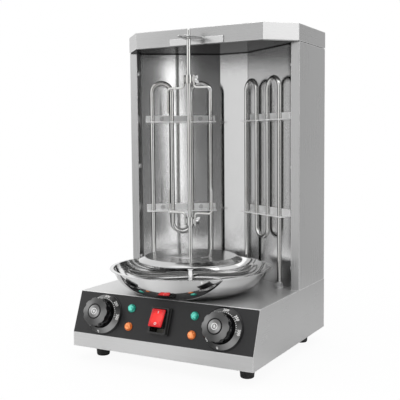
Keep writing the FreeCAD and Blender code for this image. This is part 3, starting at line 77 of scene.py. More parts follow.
class Value:
    """A number socket that takes part in Python expressions."""

    def __init__(self, graph: "Graph", socket: Socket) -> None:
        """Keeps the graph and the socket."""
        self.graph = graph
        self.socket = socket

    def _math(self, operation: str, *sources: "Value | float") -> "Value":
        """The result of one Math node on up to two numbers."""
        return self.graph.value("ShaderNodeMath", {"operation": operation}, dict(enumerate(sources)))

    def __add__(self, other: "Value | float") -> "Value":
        """This plus other."""
        return self._math("ADD", self, other)

    __radd__ = __add__

    def __sub__(self, other: "Value | float") -> "Value":
        """This less other."""
        return self._math("SUBTRACT", self, other)

    def __rsub__(self, other: "Value | float") -> "Value":
        """Other less this."""
        return self._math("SUBTRACT", other, self)

    def __mul__(self, other: "Value | float") -> "Value":
        """This times other."""
        return self._math("MULTIPLY", self, other)

    __rmul__ = __mul__

    def __pow__(self, other: "Value | float") -> "Value":
        """This to the power of other."""
        return self._math("POWER", self, other)

    def band(self, low: float, high: float) -> "Value":
        """A smooth step from 0 at low to 1 at high."""
        sockets = {0: self, 1: low, 2: high, 3: 0.0, 4: 1.0}
        return self.graph.value("ShaderNodeMapRange", {"interpolation_type": "SMOOTHSTEP"}, sockets)

    def sine(self) -> "Value":
        """The sine of this."""
        return self._math("SINE", self)

    def least(self, other: "Value | float") -> "Value":
        """The smaller of this and other."""
        return self._math("MINIMUM", self, other)

    def angle_of(self, other: "Value") -> "Value":
        """The angle whose sine side is this and whose cosine side is other."""
        return self._math("ARCTAN2", self, other)


class Graph:
    """A node tree under construction."""

    def __init__(self, tree: bpy.types.NodeTree) -> None:
        """Empties the tree."""
        self.tree = tree
        tree.nodes.clear()

    def add(self, kind: str, settings: dict | None = None, sockets: dict | None = None) -> bpy.types.Node:
        """Adds one node.

        Args:
            kind: the node's type.
            settings: its own settings, and "stops" for a colour ramp as (place, colour) pairs.
            sockets: what its inputs get, by name or number: a number, a colour, a Value or a socket.

        Returns:
            The node.
        """
        node = self.tree.nodes.new(kind)
        for key, setting in (settings or {}).items():
            if key == "stops":
                ramp = node.color_ramp.elements
                while len(ramp) < len(setting):
                    ramp.new(0.5)
                for element, (place, colour) in zip(ramp, setting):
                    element.position = place
                    element.color = (*colour, 1.0)
            else:
                setattr(node, key, setting)
        for key, given in (sockets or {}).items():
            source = given.socket if isinstance(given, Value) else given
            if isinstance(source, Socket):
                self.tree.links.new(source, node.inputs[key])
            elif isinstance(source, tuple) and len(source) == 3 and node.inputs[key].type == "RGBA":
                node.inputs[key].default_value = (*source, 1.0)
            else:
                node.inputs[key].default_value = source
        return node

    def value(self, kind: str, settings: dict | None = None, sockets: dict | None = None,
              output: int | str = 0) -> Value:
        """Adds one node, as add does, and gives the number at one of its outputs."""
        return Value(self, self.add(kind, settings, sockets).outputs[output])

    def vector(self, operation: str, *sources: object) -> Socket:
        """The vector that a Vector Math node makes of vectors."""
        return self.add("ShaderNodeVectorMath", {"operation": operation}, dict(enumerate(sources))).outputs[0]

    def measure(self, operation: str, *sources: object) -> Value:
        """The number that a Vector Math node makes of vectors."""
        return self.value("ShaderNodeVectorMath", {"operation": operation}, dict(enumerate(sources)), "Value")

    def point(self) -> Socket:
        """The point on the object, in metres."""
        return self.add("ShaderNodeTexCoord").outputs["Object"]

    def normal(self) -> Socket:
        """The surface's own normal."""
        return self.add("ShaderNodeNewGeometry").outputs["Normal"]

    def shifted(self, centre: Point = (0.0, 0.0, 0.0), scale: Point = (1.0, 1.0, 1.0),
                turn: Point = (0.0, 0.0, 0.0)) -> Socket:
        """The point on the object seen from a centre.

        Args:
            centre: the point that becomes the origin.
            scale: what each axis is multiplied by after that.
            turn: the angles that the axes are turned by.

        Returns:
            The vector socket.
        """
        moved = self.vector("SUBTRACT", self.point(), centre)
        sockets = {"Vector": moved, "Rotation": turn, "Scale": scale}
        return self.add("ShaderNodeMapping", None, sockets).outputs[0]

    def parts(self, vector: Socket) -> tuple[Value, Value, Value]:
        """The three numbers of a vector."""
        node = self.add("ShaderNodeSeparateXYZ", None, {0: vector})
        return tuple(Value(self, out) for out in node.outputs)

    def noise(self, scale: float, detail: float = 3.0, where: Socket | None = None,
              rough: float = 0.55) -> Value:
        """Soft noise between 0 and 1.

        Args:
            scale: how many lumps there are to a unit.
            detail: how many finer layers it has.
            where: the vector that it is read at, or None for the point on the object.
            rough: how strong the finer layers are.

        Returns:
            The noise's value.
        """
        where = self.point() if where is None else where
        sockets = {"Vector": where, "Scale": scale, "Detail": detail, "Roughness": rough}
        return self.value("ShaderNodeTexNoise", None, sockets)

    def cells(self, scale: float) -> Value:
        """A number between 0 and 1 for each cell of a patchwork with so many cells to a metre."""
        patchwork = self.add("ShaderNodeTexVoronoi", None, {"Vector": self.point(), "Scale": scale})
        return self.value("ShaderNodeSeparateColor", None, {0: patchwork.outputs["Color"]})

    def blend(self, factor: Value | float, first: object, second: object) -> Socket:
        """A colour between two colours or sockets, the factor being 0 for the first and 1 for the second."""
        settings = {"data_type": "RGBA", "clamp_factor": True}
        return self.add("ShaderNodeMix", settings, {0: factor, 6: first, 7: second}).outputs[2]

    def grey(self, level: Value) -> Socket:
        """A neutral colour of a given level."""
        return self.add("ShaderNodeCombineColor", None, {0: level, 1: level, 2: level}).outputs[0]

    def bump(self, height: Value, depth: float, strength: float, under: Socket | None = None) -> Socket:
        """A normal that follows a height.

        Args:
            height: the height, from 0 to 1.
            depth: how far 1 stands over 0, in metres.
            strength: how much of it shows.
            under: the normal that it starts from, or None for the surface's own.

        Returns:
            The normal socket.
        """
        sockets = {"Strength": strength, "Distance": depth, "Height": height}
        if under is not None:
            sockets["Normal"] = under
        return self.add("ShaderNodeBump", None, sockets).outputs[0]

    def tipped(self, amount: Value) -> Socket:
        """The surface's normal tipped up or down by an amount."""
        lift = self.add("ShaderNodeCombineXYZ", None, {2: amount}).outputs[0]
        return self.vector("NORMALIZE", self.vector("ADD", self.normal(), lift))

    def surface(self, sockets: dict) -> None:
        """Ends the tree in one Principled shader with the given sockets."""
        shader = self.add("ShaderNodeBsdfPrincipled", None, sockets)
        self.add("ShaderNodeOutputMaterial", None, {"Surface": shader.outputs[0]})


# Finishes


def darker(colour: Colour, share: float) -> Colour:
    """A colour times a share."""
    return tuple(share * part for part in colour)


@dataclass(frozen=True)
class Finish:
    """A named finish. Each kind fills its own node tree."""

    name: str

    def material(self) -> bpy.types.Material:
        """The finish's material, made once."""
        found = bpy.data.materials.get(self.name)
        if found is None:
            found = bpy.data.materials.new(self.name)
            found.use_nodes = True
            self.fill(Graph(found.node_tree))
        return found

    def fill(self, graph: Graph) -> None:
        """Builds the node tree."""
        raise NotImplementedError


@dataclass(frozen=True)
class Grained(Finish):
    """Two tints blended by a slow cloud or a patchwork of crystals, under a fine grain in the surface."""

    tints: tuple[Colour, Colour] = ((0.0, 0.0, 0.0), WHITE)
    metal: float = 0.0
    gloss: float = 0.5
    edge_tint: Colour = WHITE
    rough: float = 0.4
    cloud: tuple[float, float] = (60.0, 2.0)
    crystals: bool = False
    rough_by_cloud: float = 0.0
    grain: tuple[float, float] = (1500.0, 3.0)
    rough_by_grain: float = 0.0
    depth: float = 0.00001
    strength: float = 0.4

    def fill(self, graph: Graph) -> None:
        """The cloud blends the tints, both noises change the gloss, and the grain lies in the surface."""
        cloud = graph.cells(self.cloud[0]) if self.crystals else graph.noise(*self.cloud)
        grain = graph.noise(*self.grain)
        swing = (cloud - 0.5) * self.rough_by_cloud + (grain - 0.5) * self.rough_by_grain
        graph.surface({
            "Base Color": graph.blend(cloud, *self.tints),
            "Metallic": self.metal,
            "Specular IOR Level": self.gloss,
            "Specular Tint": self.edge_tint,
            "Roughness": swing + self.rough,
            "Normal": graph.bump(grain, self.depth, self.strength),
        })


def greys(middle: float, apart: float) -> tuple[Colour, Colour]:
    """Two greys that lie evenly about a middle."""
    return (middle - apart / 2,) * 3, (middle + apart / 2,) * 3


def polished(name: str, tone: float = 0.66, rough: float = 0.07) -> Finish:
    """Pressed or turned steel polished to a mirror, with faint polishing marks."""
    return Grained(name, greys(tone, 0.04), metal=1.0, rough=rough, cloud=(28.0, 2.0), rough_by_cloud=0.05,
                   grain=(700.0, 3.0), rough_by_grain=0.03)


def plated(name: str) -> Finish:
    """Plated screws and nuts, whose fine grain changes the colour too."""
    return Grained(name, greys(0.70, 0.16), metal=0.6, rough=0.30, cloud=(900.0, 2.0), grain=(900.0, 2.0),
                   rough_by_grain=0.12, depth=0.00003, strength=0.5)


def moulded(name: str, colour: Colour, rough: float, gloss: float = 0.5) -> Finish:
    """Moulded plastic or rubber with a fine texture and slightly varying gloss."""
    paler = tuple(1.3 * part + 0.004 for part in colour)
    return Grained(name, (colour, paler), gloss=gloss, rough=rough, rough_by_cloud=0.10, rough_by_grain=0.10,
                   depth=0.00004, strength=0.5)


ZINC = Grained("zinc_plated", greys(0.50, 0.10), metal=1.0, rough=0.42, cloud=(130.0, 0.0), crystals=True,
               rough_by_cloud=0.16, grain=(300.0, 3.0), depth=0.00005)
# Very dark steel with dim edges for the hood's ceiling: painted shade under the hood.
CEILING = Grained("dark_ceiling", greys(0.16, 0.06), metal=1.0, edge_tint=(0.2, 0.2, 0.2), rough=0.09,
                  cloud=(20.0, 4.0), rough_by_cloud=0.06, grain=(260.0, 3.0))
FACING_DARK = (0.030, 0.030, 0.031)
FACING = Grained("panel_facing", (FACING_DARK, darker(FACING_DARK, 0.86)), gloss=0.30, rough=0.26,
                 cloud=(30.0, 2.0), grain=(2600.0, 2.0), rough_by_grain=0.10)


@dataclass(frozen=True)
class BrushedSheet(Finish):
    """Stainless sheet with fine straight brushing, faint broad cloudiness, painted highlights along soft edges
    and, where asked, painted shade on what faces down.
    """

    brush: Brush = Brush.ALONG_X
    tone: float = 0.62
    rough: float = 0.28
    streak: float = 0.035
    metal: float = 1.0
    edge: float = 1.5 * MM
    # The edge brightening set below is a painted highlight, and the darkening of downward faces is painted
    # shade.
    edge_highlight: float = 0.40
    underside_shade: float = 0.0
    clouded: float = 0.03
    clouded_gloss: float = 0.04
    underside_shade_from: tuple[float, float] = (0.3, 0.8)
    edge_highlight_from: tuple[float, float] = (0.004, 0.06)

    def fill(self, graph: Graph) -> None:
        """Long thin noise for the brushing, a broad cloud, painted highlights on the edges, and painted shade
        on what faces down.
        """
        lines = graph.noise(1.0, 4.0, graph.shifted(scale=self.brush.value), 0.6)
        cloud = graph.noise(14.0, 2.0)
        level = self.tone + (lines - 0.5) * self.streak * 2.0 + (cloud - 0.5) * self.clouded
        # Painted shade: faces that point down are darkened.
        if self.underside_shade > 0:
            facing = graph.parts(graph.normal())[2]
            level = level * (1.0 - (facing * -1.0).band(*self.underside_shade_from) * self.underside_shade)
        # Painted highlight: the colour is lightened where the eased normal turns away from the true one, along
        # the edges.
        eased = graph.add("ShaderNodeBevel", {"samples": 6}, {"Radius": self.edge}).outputs[0]
        near_edge = (1.0 - graph.measure("DOT_PRODUCT", eased, graph.normal())).band(*self.edge_highlight_from)
        graph.surface({
            "Base Color": graph.grey(level + near_edge * self.edge_highlight),
            "Metallic": self.metal,
            "Roughness": self.rough + (lines - 0.5) * self.streak * 1.6 + (cloud - 0.5) * self.clouded_gloss,
            "Normal": graph.bump(lines, 0.00003, 0.5, eased),
        })


@dataclass(frozen=True)
class MirrorSheet(Finish):
    """Bright sheet whose fine grain blurs what it mirrors up and down, with painted shade along its top, where
    it meets the ceiling.
    """

    tone: float = 0.66
    rough: float = 0.075
    smear: float = 0.7
    grain: float = 20000.0
    clouded: float = 0.05
    clouded_gloss: float = 0.04
    seam: float = 457.2 * MM
    seam_soft: float = 1 * MM
    seam_shade: float = 0.85

    def fill(self, graph: Graph) -> None:
        """A grain finer than a pixel tips the surface up and down, and painted shade darkens it over the seam's
        height.
        """
        height = graph.parts(graph.point())[2]
        grain = graph.noise(self.grain, 2.0)
        cloud = graph.noise(18.0, 2.0)
        # Painted shade: the colour darkens above the seam's height.
        seam_shading = 1.0 - height.band(self.seam, self.seam + self.seam_soft) * self.seam_shade
        graph.surface({
            "Base Color": graph.grey((self.tone + (cloud - 0.5) * self.clouded) * seam_shading),
            "Metallic": 1.0,
            "Roughness": self.rough + (cloud - 0.5) * self.clouded_gloss,
            "Normal": graph.tipped((grain - 0.5) * self.smear),
        })


@dataclass(frozen=True)
class DrawnSteel(Finish):
    """Satin drawn tube or bar, with painted shade along both flanks and a little darker in patches from heat.
    """

    front: float = 28.7
    flank: float = 0.95
    rough: float = 0.17
    cool: Colour = (0.72, 0.72, 0.71)
    heated: Colour = (0.64, 0.63, 0.61)
    shaded: Colour = (0.04, 0.04, 0.04)
    patches: tuple[float, float] = (0.45, 0.75)
    flanks: tuple[float, float] = (0.35, 0.78)

    def fill(self, graph: Graph) -> None:
        """Drawing marks along the tube, a slight straw tint in patches, and painted shade on the flanks beside
        the front, the front being the camera's azimuth.
        """
        marks = graph.noise(1.0, 3.0, graph.shifted(scale=(300.0, 300.0, 60.0)))
        heat = graph.noise(16.0, 2.0)
        # The front is the camera's azimuth; the flanks seen side-on from there get painted shade.
        aim = (math.cos(math.radians(self.front)), math.sin(math.radians(self.front)), 0.0)
        beside = graph.measure("DOT_PRODUCT", graph.normal(), aim)
        flank = (beside * beside + (marks - 0.5) * 0.1).band(*self.flanks)
        steel = graph.blend(heat.band(*self.patches), self.cool, self.heated)
        graph.surface({
            "Base Color": graph.blend(flank * self.flank, steel, self.shaded),
            "Metallic": 1.0,
            "Roughness": self.rough + (marks - 0.5) * 0.10 + heat * 0.05,
            "Normal": graph.bump(marks, 0.00004, 0.5),
        })


@dataclass(frozen=True)
class TurnedFace(Finish):
    """Dark turned face with a painted highlight fanned round its middle, fine turning marks, and gloss black
    beside it.

    The face lies between two distances from the axis and over a height; the rest of the piece is black.
    """

    centre: Point = (0.0, 0.0, 0.0)
    turn: float = 0.0
    inner: float = 0.0
    outer: float = 1.0
    over: float = -1.0
    dark: float = 0.05
    # The painted highlight's strength over the dark level:
    light: float = 0.20
    phase: float = 0.6
    metal: float = 0.7
    fan_sides: float = 2.0
    fan_keen: float = 1.5
    soft: float = 0.15 * MM
    black: Colour = (0.006, 0.006, 0.007)

    def fill(self, graph: Graph) -> None:
        """A painted highlight fanned by the angle round the middle, fine marks round it, and a mask for the
        face.
        """
        across, up, out = graph.parts(graph.shifted(self.centre, turn=(self.turn, 0.0, 0.0)))
        angle = up.angle_of(across)
        radius = (across * across + up * up) ** 0.5
        # Painted highlight: the colour rises and falls with the angle round the middle.
        fan = ((angle * self.fan_sides + self.phase).sine() * 0.5 + 0.5) ** self.fan_keen
        rays = graph.noise(40.0, 3.0, graph.add("ShaderNodeCombineXYZ", None, {0: angle}).outputs[0])
        grain = graph.noise(1400.0, 2.0)
        within = self.past(radius, self.inner) * (1.0 - self.past(radius, self.outer))
        face = within * self.past(out, self.over)
        level = self.dark + fan * self.light + (rays - 0.5) * 0.06 + (grain - 0.5) * 0.05
        graph.surface({
            "Base Color": graph.blend(face, self.black, graph.grey(level)),
            "Specular IOR Level": 0.35,
            "Metallic": face * self.metal,
            "Roughness": 0.16 + face * (0.20 + (grain - 0.5) * 0.12),
            "Normal": graph.bump(grain, 0.00003, 0.4),
        })

    def past(self, place: Value, limit: float) -> Value:
        """1 past a limit and 0 before it, with a soft step."""
        return place.band(limit - self.soft, limit + self.soft)


@dataclass(frozen=True)
class LensPlastic(Finish):
    """Tinted clear plastic, lit from within: brighter in the middle than at its rim."""

    core: Colour = (0.5, 0.1, 0.1)
    rim: Colour = (0.2, 0.0, 0.0)
    glow: float = 0.35
    reach: float = 6 * MM
    facets: float = 420.0
    sparkle: float = 0.2
    lit_share: float = 0.3
    centres: tuple[Point, ...] = ()

    def fill(self, graph: Graph) -> None:
        """The glow falls off with the distance from the nearest lens's middle, and is cloudy inside."""
        near, *others = (graph.measure("DISTANCE", graph.point(), centre) for centre in self.centres)
        for other in others:
            near = near.least(other)
        mottle = graph.noise(380.0, 2.0)
        share = (near + (mottle - 0.5) * self.reach * 0.5).band(self.reach * self.lit_share, self.reach)
        tint = graph.blend(share + (graph.cells(self.facets) - 0.4) * self.sparkle, self.core, self.rim)
        graph.surface({
            "Base Color": tint,
            "Specular IOR Level": 0.3,
            "Roughness": 0.16 + mottle * 0.10,
            "Coat Weight": 0.15 + mottle * 0.1,
            "Coat Roughness": 0.08,
            "Emission Color": tint,
            "Emission Strength": self.glow,
            "Normal": graph.bump(mottle, 0.00005, 0.4),
        })


@dataclass(frozen=True)
class PrintedMark(Finish):
    """Pale printed marks, a little worn."""

    colour: Colour = (0.62, 0.62, 0.60)

    def fill(self, graph: Graph) -> None:
        """The print thins in small patches."""
        worn = graph.noise(900.0, 3.0)
        graph.surface({
            "Base Color": graph.blend(worn.band(0.5, 0.75), self.colour, darker(self.colour, 0.7)),
            "Roughness": 0.5 + (worn - 0.5) * 0.2,
        })


# Surfaces as arrays


def welded(points: np.ndarray, quads: np.ndarray) -> tuple[np.ndarray, list[tuple[int, ...]]]:
    """Joins points that coincide and drops the corners that this merges.

    Args:
        points: the corners, one row each.
        quads: four corner numbers to a face.

    Returns:
        The corners that are left and the faces on them.
    """
    rounded_off = np.round(points * WELDS_PER_METRE).astype(np.int64)
    _, first, inverse = np.unique(rounded_off, axis=0, return_index=True, return_inverse=True)
    faces = inverse.reshape(-1)[quads]
    same = faces == np.roll(faces, -1, axis=1)
    whole = faces[~same.any(axis=1)]
    pinched = [tuple(dict.fromkeys(face)) for face in faces[same.any(axis=1)].tolist()]
    return points[first], [tuple(face) for face in whole.tolist()] + [f for f in pinched if len(f) > 2]


def grid_quads(rows: int, columns: int) -> np.ndarray:
    """The faces of a grid of points, four corner numbers each."""
    index = np.arange(rows * columns).reshape(rows, columns)
    return np.stack([index[:-1, :-1], index[:-1, 1:], index[1:, 1:], index[1:, :-1]], axis=-1).reshape(-1, 4)


def placed(name: str, data: bpy.types.ID) -> bpy.types.Object:
    """A new object of the scene that holds the given data."""
    made = bpy.data.objects.new(name, data)
    bpy.context.scene.collection.objects.link(made)
    return made


def shown(made: bpy.types.Object, body: str, slot: str, *nodes: str) -> bpy.types.Object:
    """Hands a piece to the frame and reports it.

    Args:
        made: the piece.
        body: the body it moves with.
        slot: not used.
        nodes: the nodes that it stands for.

    Returns:
        The piece.
    """
    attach(made, body)
    if nodes:
        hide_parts(*nodes)
    LOG.info("%s: %d faces on %s", made.name, len(made.data.polygons), body)
    return made


def piece(name: str, grids: list[np.ndarray], finish: Finish, body: str, slot: str, *nodes: str,
          crease: float = 35.0) -> bpy.types.Object:
    """A piece from grids of points, smooth between its sharp edges, its faces outwards, handed to the frame.

    Args:
        name: the piece's name.
        grids: arrays of points, rows by columns by three, whose edges may meet.
        finish: what it is finished in.
        body: the body it moves with.
        slot: the record's material slot it belongs to.
        nodes: the nodes that it stands for.
        crease: the angle in degrees over which an edge stays sharp.

    Returns:
        The piece.
    """
    points, quads, base = [], [], 0
    for grid in grids:
        rows, columns = grid.shape[:2]
        points.append(grid.reshape(-1, 3))
        quads.append(grid_quads(rows, columns) + base)
        base += rows * columns
    corners, faces = welded(np.concatenate(points), np.concatenate(quads))
    mesh = bpy.data.meshes.new(name)
    mesh.from_pydata(corners.tolist(), [], faces)
    mesh.validate()
    shell = bmesh.new()
    shell.from_mesh(mesh)
    bmesh.ops.recalc_face_normals(shell, faces=shell.faces)
    shell.to_mesh(mesh)
    shell.free()
    mesh.shade_smooth()
    mesh.set_sharp_from_angle(angle=math.radians(crease))
    mesh.materials.append(finish.material())
    return shown(placed(name, mesh), body, slot, *nodes)


def dress(finish: Finish, nodes: str) -> None:
    """Gives a finish to CAD nodes, named with spaces between them."""
    for node in nodes.split():
        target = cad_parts[node]
        target.data.materials.clear()
        target.data.materials.append(finish.material())
        LOG.info("%s: dressed in %s", node, finish.name)


def rounded(run: list[tuple[float, ...]], steps: int = 6, most: float = 0.49) -> np.ndarray:
    """Straight runs whose inner corners are arcs that touch both, each the blend of its ends by their sines.

    Args:
        run: the corners in two or three numbers, each with its arc's radius after them.
        steps: points on each arc, less one.
        most: the share of a run that one arc may take.

    Returns:
        The points of the rounded run.
    """
    table = np.array(run, float)
    corners, sizes = table[:, :-1], table[:, -1]
    line = [corners[:1]]
    for before, corner, after, size in zip(corners, corners[1:], corners[2:], sizes[1:]):
        back, ahead = before - corner, after - corner
        long_back, long_ahead = np.linalg.norm(back), np.linalg.norm(ahead)
        back, ahead = back / long_back, ahead / long_ahead
        half = math.acos(float(np.clip(back @ ahead, -1, 1))) / 2
        cut = min(size / math.tan(half), most * long_back, most * long_ahead) if half > STRAIGHT else 0.0
        if size <= 0 or cut < SHORT or half > math.pi / 2 - STRAIGHT:
            line.append(corner[None])
            continue
        to_centre = (back + ahead) / np.linalg.norm(back + ahead) * cut / math.cos(half)
        enter, leave = back * cut - to_centre, ahead * cut - to_centre
        share = np.linspace(0, 1, steps + 1)[:, None]
        sweep = math.pi - 2 * half
        arc = (np.sin((1 - share) * sweep) * enter + np.sin(share * sweep) * leave) / math.sin(sweep)
        line.append(corner + to_centre + arc)
    line.append(corners[-1:])
    return np.concatenate(line)


def full_turn(steps: int) -> np.ndarray:
    """Even angles all the way round, the last being the first again."""
    return np.append(np.linspace(0, 2 * np.pi, steps + 1)[:-1], 0.0)


def revolved(profile: np.ndarray, segments: int) -> np.ndarray:
    """A surface of revolution about +z: (r cos a, r sin a, h) for each profile point (r, h) and angle a.

    Args:
        profile: radii and heights, one row each.
        segments: steps round the axis.

    Returns:
        The grid of points.
    """
    angle = full_turn(segments)
    radius, height = profile[:, :1], profile[:, 1:]
    return np.stack([radius * np.cos(angle), radius * np.sin(angle), height + 0 * angle], axis=-1)


def swept(path: np.ndarray, radius: float, segments: int) -> np.ndarray:
    """A tube: each path point plus radius times (side cos a + up sin a), with frames carried along the path.

    The frame at each point is the last one turned by the least turn that brings its direction into line.

    Args:
        path: the points of the middle line, which starts upright.
        radius: the tube's radius.
        segments: steps round the tube.

    Returns:
        The grid of points, closed to a point at both ends.
    """
    ahead = np.gradient(path, axis=0)
    ahead /= np.linalg.norm(ahead, axis=1, keepdims=True)
    side = np.cross(ahead[0], (0.0, 1.0, 0.0))
    sides = [side / np.linalg.norm(side)]
    for direction in ahead[1:]:
        side = sides[-1] - direction * (sides[-1] @ direction)
        sides.append(side / np.linalg.norm(side))
    side = np.array(sides)
    up = np.cross(ahead, side)
    angle = full_turn(segments)[None, :, None]
    tube = path[:, None] + radius * (side[:, None] * np.cos(angle) + up[:, None] * np.sin(angle))
    ends = [np.broadcast_to(point, (1, segments + 1, 3)) for point in (path[0], path[-1])]
    return np.concatenate([ends[0], tube, ends[1]])


def rounded_frame(width: float, length: float, corner: float, profile: np.ndarray,
                  steps: int = 6) -> np.ndarray:
    """A profile carried round a rounded rectangle: the rectangle shrinks by the profile's first number.

    Args:
        width: the rectangle's size along x.
        length: its size along y.
        corner: its corner radius.
        profile: how far in from the rectangle, and how high, one row each.
        steps: points on each corner, less one.

    Returns:
        The grid of points.
    """
    quarter = np.linspace(0, np.pi / 2, steps + 1)
    angle = np.concatenate([quarter + k * np.pi / 2 for k in range(4)] + [[0.0]])
    sign_x = np.concatenate([np.full(steps + 1, s) for s in (1, -1, -1, 1)] + [[1]])
    sign_y = np.concatenate([np.full(steps + 1, s) for s in (1, 1, -1, -1)] + [[1]])
    inward = profile[:, :1]
    radius = np.maximum(corner - inward, 0.2 * corner)
    x = sign_x * (width / 2 - inward - radius) + radius * np.cos(angle)
    y = sign_y * (length / 2 - inward - radius) + radius * np.sin(angle)
    return np.stack([x, y, profile[:, 1:] + 0 * x], axis=-1)


def printed_bar(width: float, length: float, corner: float, inset: float, height: float) -> np.ndarray:
    """A thin bar with rounded corners: a frame whose first and last rows are drawn to its middle line.

    Args:
        width: its size along x.
        length: its size along y.
        corner: its corner radius.
        inset: how far in those two rows stand before that.
        height: its thickness.

    Returns:
        The grid of points.
    """
    profile = np.array([(inset, 0), (0, 0), (0, height), (inset, height)])
    bar = rounded_frame(width, length, corner, profile, 2)
    bar[[0, -1], :, 0] = 0.0
    return bar


def printed_ring(inner: float, outer: float, height: float, segments: int) -> np.ndarray:
    """A thin flat ring: a rectangle between two radii, turned about z."""
    profile = [(inner, 0), (inner, height), (outer, height), (outer, 0), (inner, 0)]
    return revolved(np.array(profile), segments)


@dataclass(frozen=True)
class Seat:
    """Where a shape drawn at the origin belongs: an origin and the ways of its three axes."""

    origin: Point
    across: Point = (1.0, 0.0, 0.0)
    up: Point = (0.0, 1.0, 0.0)
    out: Point = (0.0, 0.0, 1.0)

    def put(self, grid: np.ndarray) -> np.ndarray:
        """The points of a grid in this seat."""
        return np.array(self.origin) + grid @ np.array([self.across, self.up, self.out])

    def over(self, height: float) -> Point:
        """The point at a height over the origin."""
        return tuple(self.put(np.array([0, 0, height])).tolist())


@dataclass(frozen=True)
class Layout:
    """Places that several sub-assemblies share."""

    deck: float = 98 * MM
    front: float = -131.5 * MM
    spindle_y: float = -36.5 * MM
    slope_setback: float = 22.4 * MM
    slope_rise: float = 58 * MM
    band_top: float = 40 * MM
    facing: float = 0.8 * MM

    @property
    def tilt(self) -> float:
        """The slope's lean back from upright."""
        return math.atan2(self.slope_setback, self.slope_rise)

    def slope(self, x: float = 0.0, rise: float = 0.0, lift: float = 0.0, lean: float = 0.0) -> Seat:
        """A seat on the sloping front.

        Args:
            x: how far right of the middle.
            rise: how far up the slope.
            lift: how far out of the sheet.
            lean: an extra turn about x, in radians.

        Returns:
            The seat, with y up the slope and z out of it.
        """
        t = self.tilt
        up, out = np.array([0, math.sin(t), math.cos(t)]), np.array([0, -math.cos(t), math.sin(t)])
        middle = np.array([x, self.front + self.slope_setback / 2, self.band_top + self.slope_rise / 2])
        place = middle + up * rise + out * lift
        turned_up = up * math.cos(lean) + out * math.sin(lean)
        turned_out = out * math.cos(lean) - up * math.sin(lean)
        return Seat(tuple(place), (1.0, 0.0, 0.0), tuple(turned_up), tuple(turned_out))

    def spindle(self) -> Seat:
        """The seat where the spindle's axis meets the deck."""
        return Seat((0.0, self.spindle_y, self.deck))


LAYOUT = Layout()


# Housing


@dataclass
class Housing:
    """Base, tower and hood: bent stainless sheets, with plated parts inside and behind."""

    foot_low: float = 9.4 * MM
    foot_top: float = 11 * MM
    foot_height: float = 20 * MM
    foot_recess: float = 4.6 * MM
    foot_x: float = 119 * MM
    foot_front: float = -94.5 * MM
    foot_back: float = 106.5 * MM

    def build(self) -> None:
        """Dresses the sheets and makes the feet."""
        screws = ("foot_screws tower_bolts reflector_screws rear_screws motor_screws lock_nuts "
                  "heater_foot_nuts")
        insulators = "terminal_block thermostat_left thermostat_right switch_body lamp_bodies"
        # One stainless throughout: the sheets' tones differ by which way they face, as painted light and shade.
        deep = BrushedSheet("brushed_deep", Brush.ALONG_Y, 0.50, streak=0.02)
        upright = BrushedSheet("brushed_upright", Brush.ALONG_Z, 0.49, streak=0.02)
        for finish, nodes in (
            (BrushedSheet("brushed_across", Brush.ALONG_X, 0.66, 0.36, metal=0.8), "base_cover"),
            (deep, "base_side_left base_side_right"),
            (upright, "tower_side_left tower_side_right"),
            (BrushedSheet("brushed_level", Brush.LEVEL, 0.49), "hood_shell"),
            # The bracket's underside gets painted shade.
            (BrushedSheet("bracket_steel", Brush.LEVEL, 0.72, 0.22, edge_highlight=0.0, underside_shade=0.7), "top_bracket"),
            (CEILING, "hood_ceiling"),
            (ZINC, "base_floor base_rear_panel tower_rear_panel motor_bracket"),
            (MirrorSheet("reflector_bright"), "reflector_left reflector_right back_reflector"),
            (plated("plated_screws"), screws),
            (moulded("insulator", (0.55, 0.53, 0.46), 0.5), insulators),
            (moulded("wire_cover", (0.03, 0.03, 0.032), 0.45), "wires"),
            (moulded("gland_black", (0.02, 0.02, 0.021), 0.38), "cable_gland"),
            (moulded("motor_can", (0.30, 0.30, 0.28), 0.35), "gear_motor"),
            (plated("turned_brass"), "shaft_bush"),
        ):
            dress(finish, nodes)
        self.feet()

    def feet(self) -> None:
        """Four tapered rubber feet: a rounded profile with a recess, turned about each foot's axis."""
        grid = revolved(rounded([
            (self.foot_recess, self.foot_height, 0), (self.foot_recess, 0, 0.5 * MM),
            (self.foot_low, 0, 2.2 * MM), (self.foot_top, self.foot_height, 0.6 * MM),
            (self.foot_recess, self.foot_height, 0),
        ]), 64)
        seats = [Seat((x, y, 0.0)) for x in (-self.foot_x, self.foot_x)
                 for y in (self.foot_front, self.foot_back)]
        rubber = moulded("foot_rubber", (0.012, 0.012, 0.013), 0.5)
        piece("feet", [seat.put(grid) for seat in seats], rubber, "housing", "foot_rubber", "rubber_feet")


# Heating


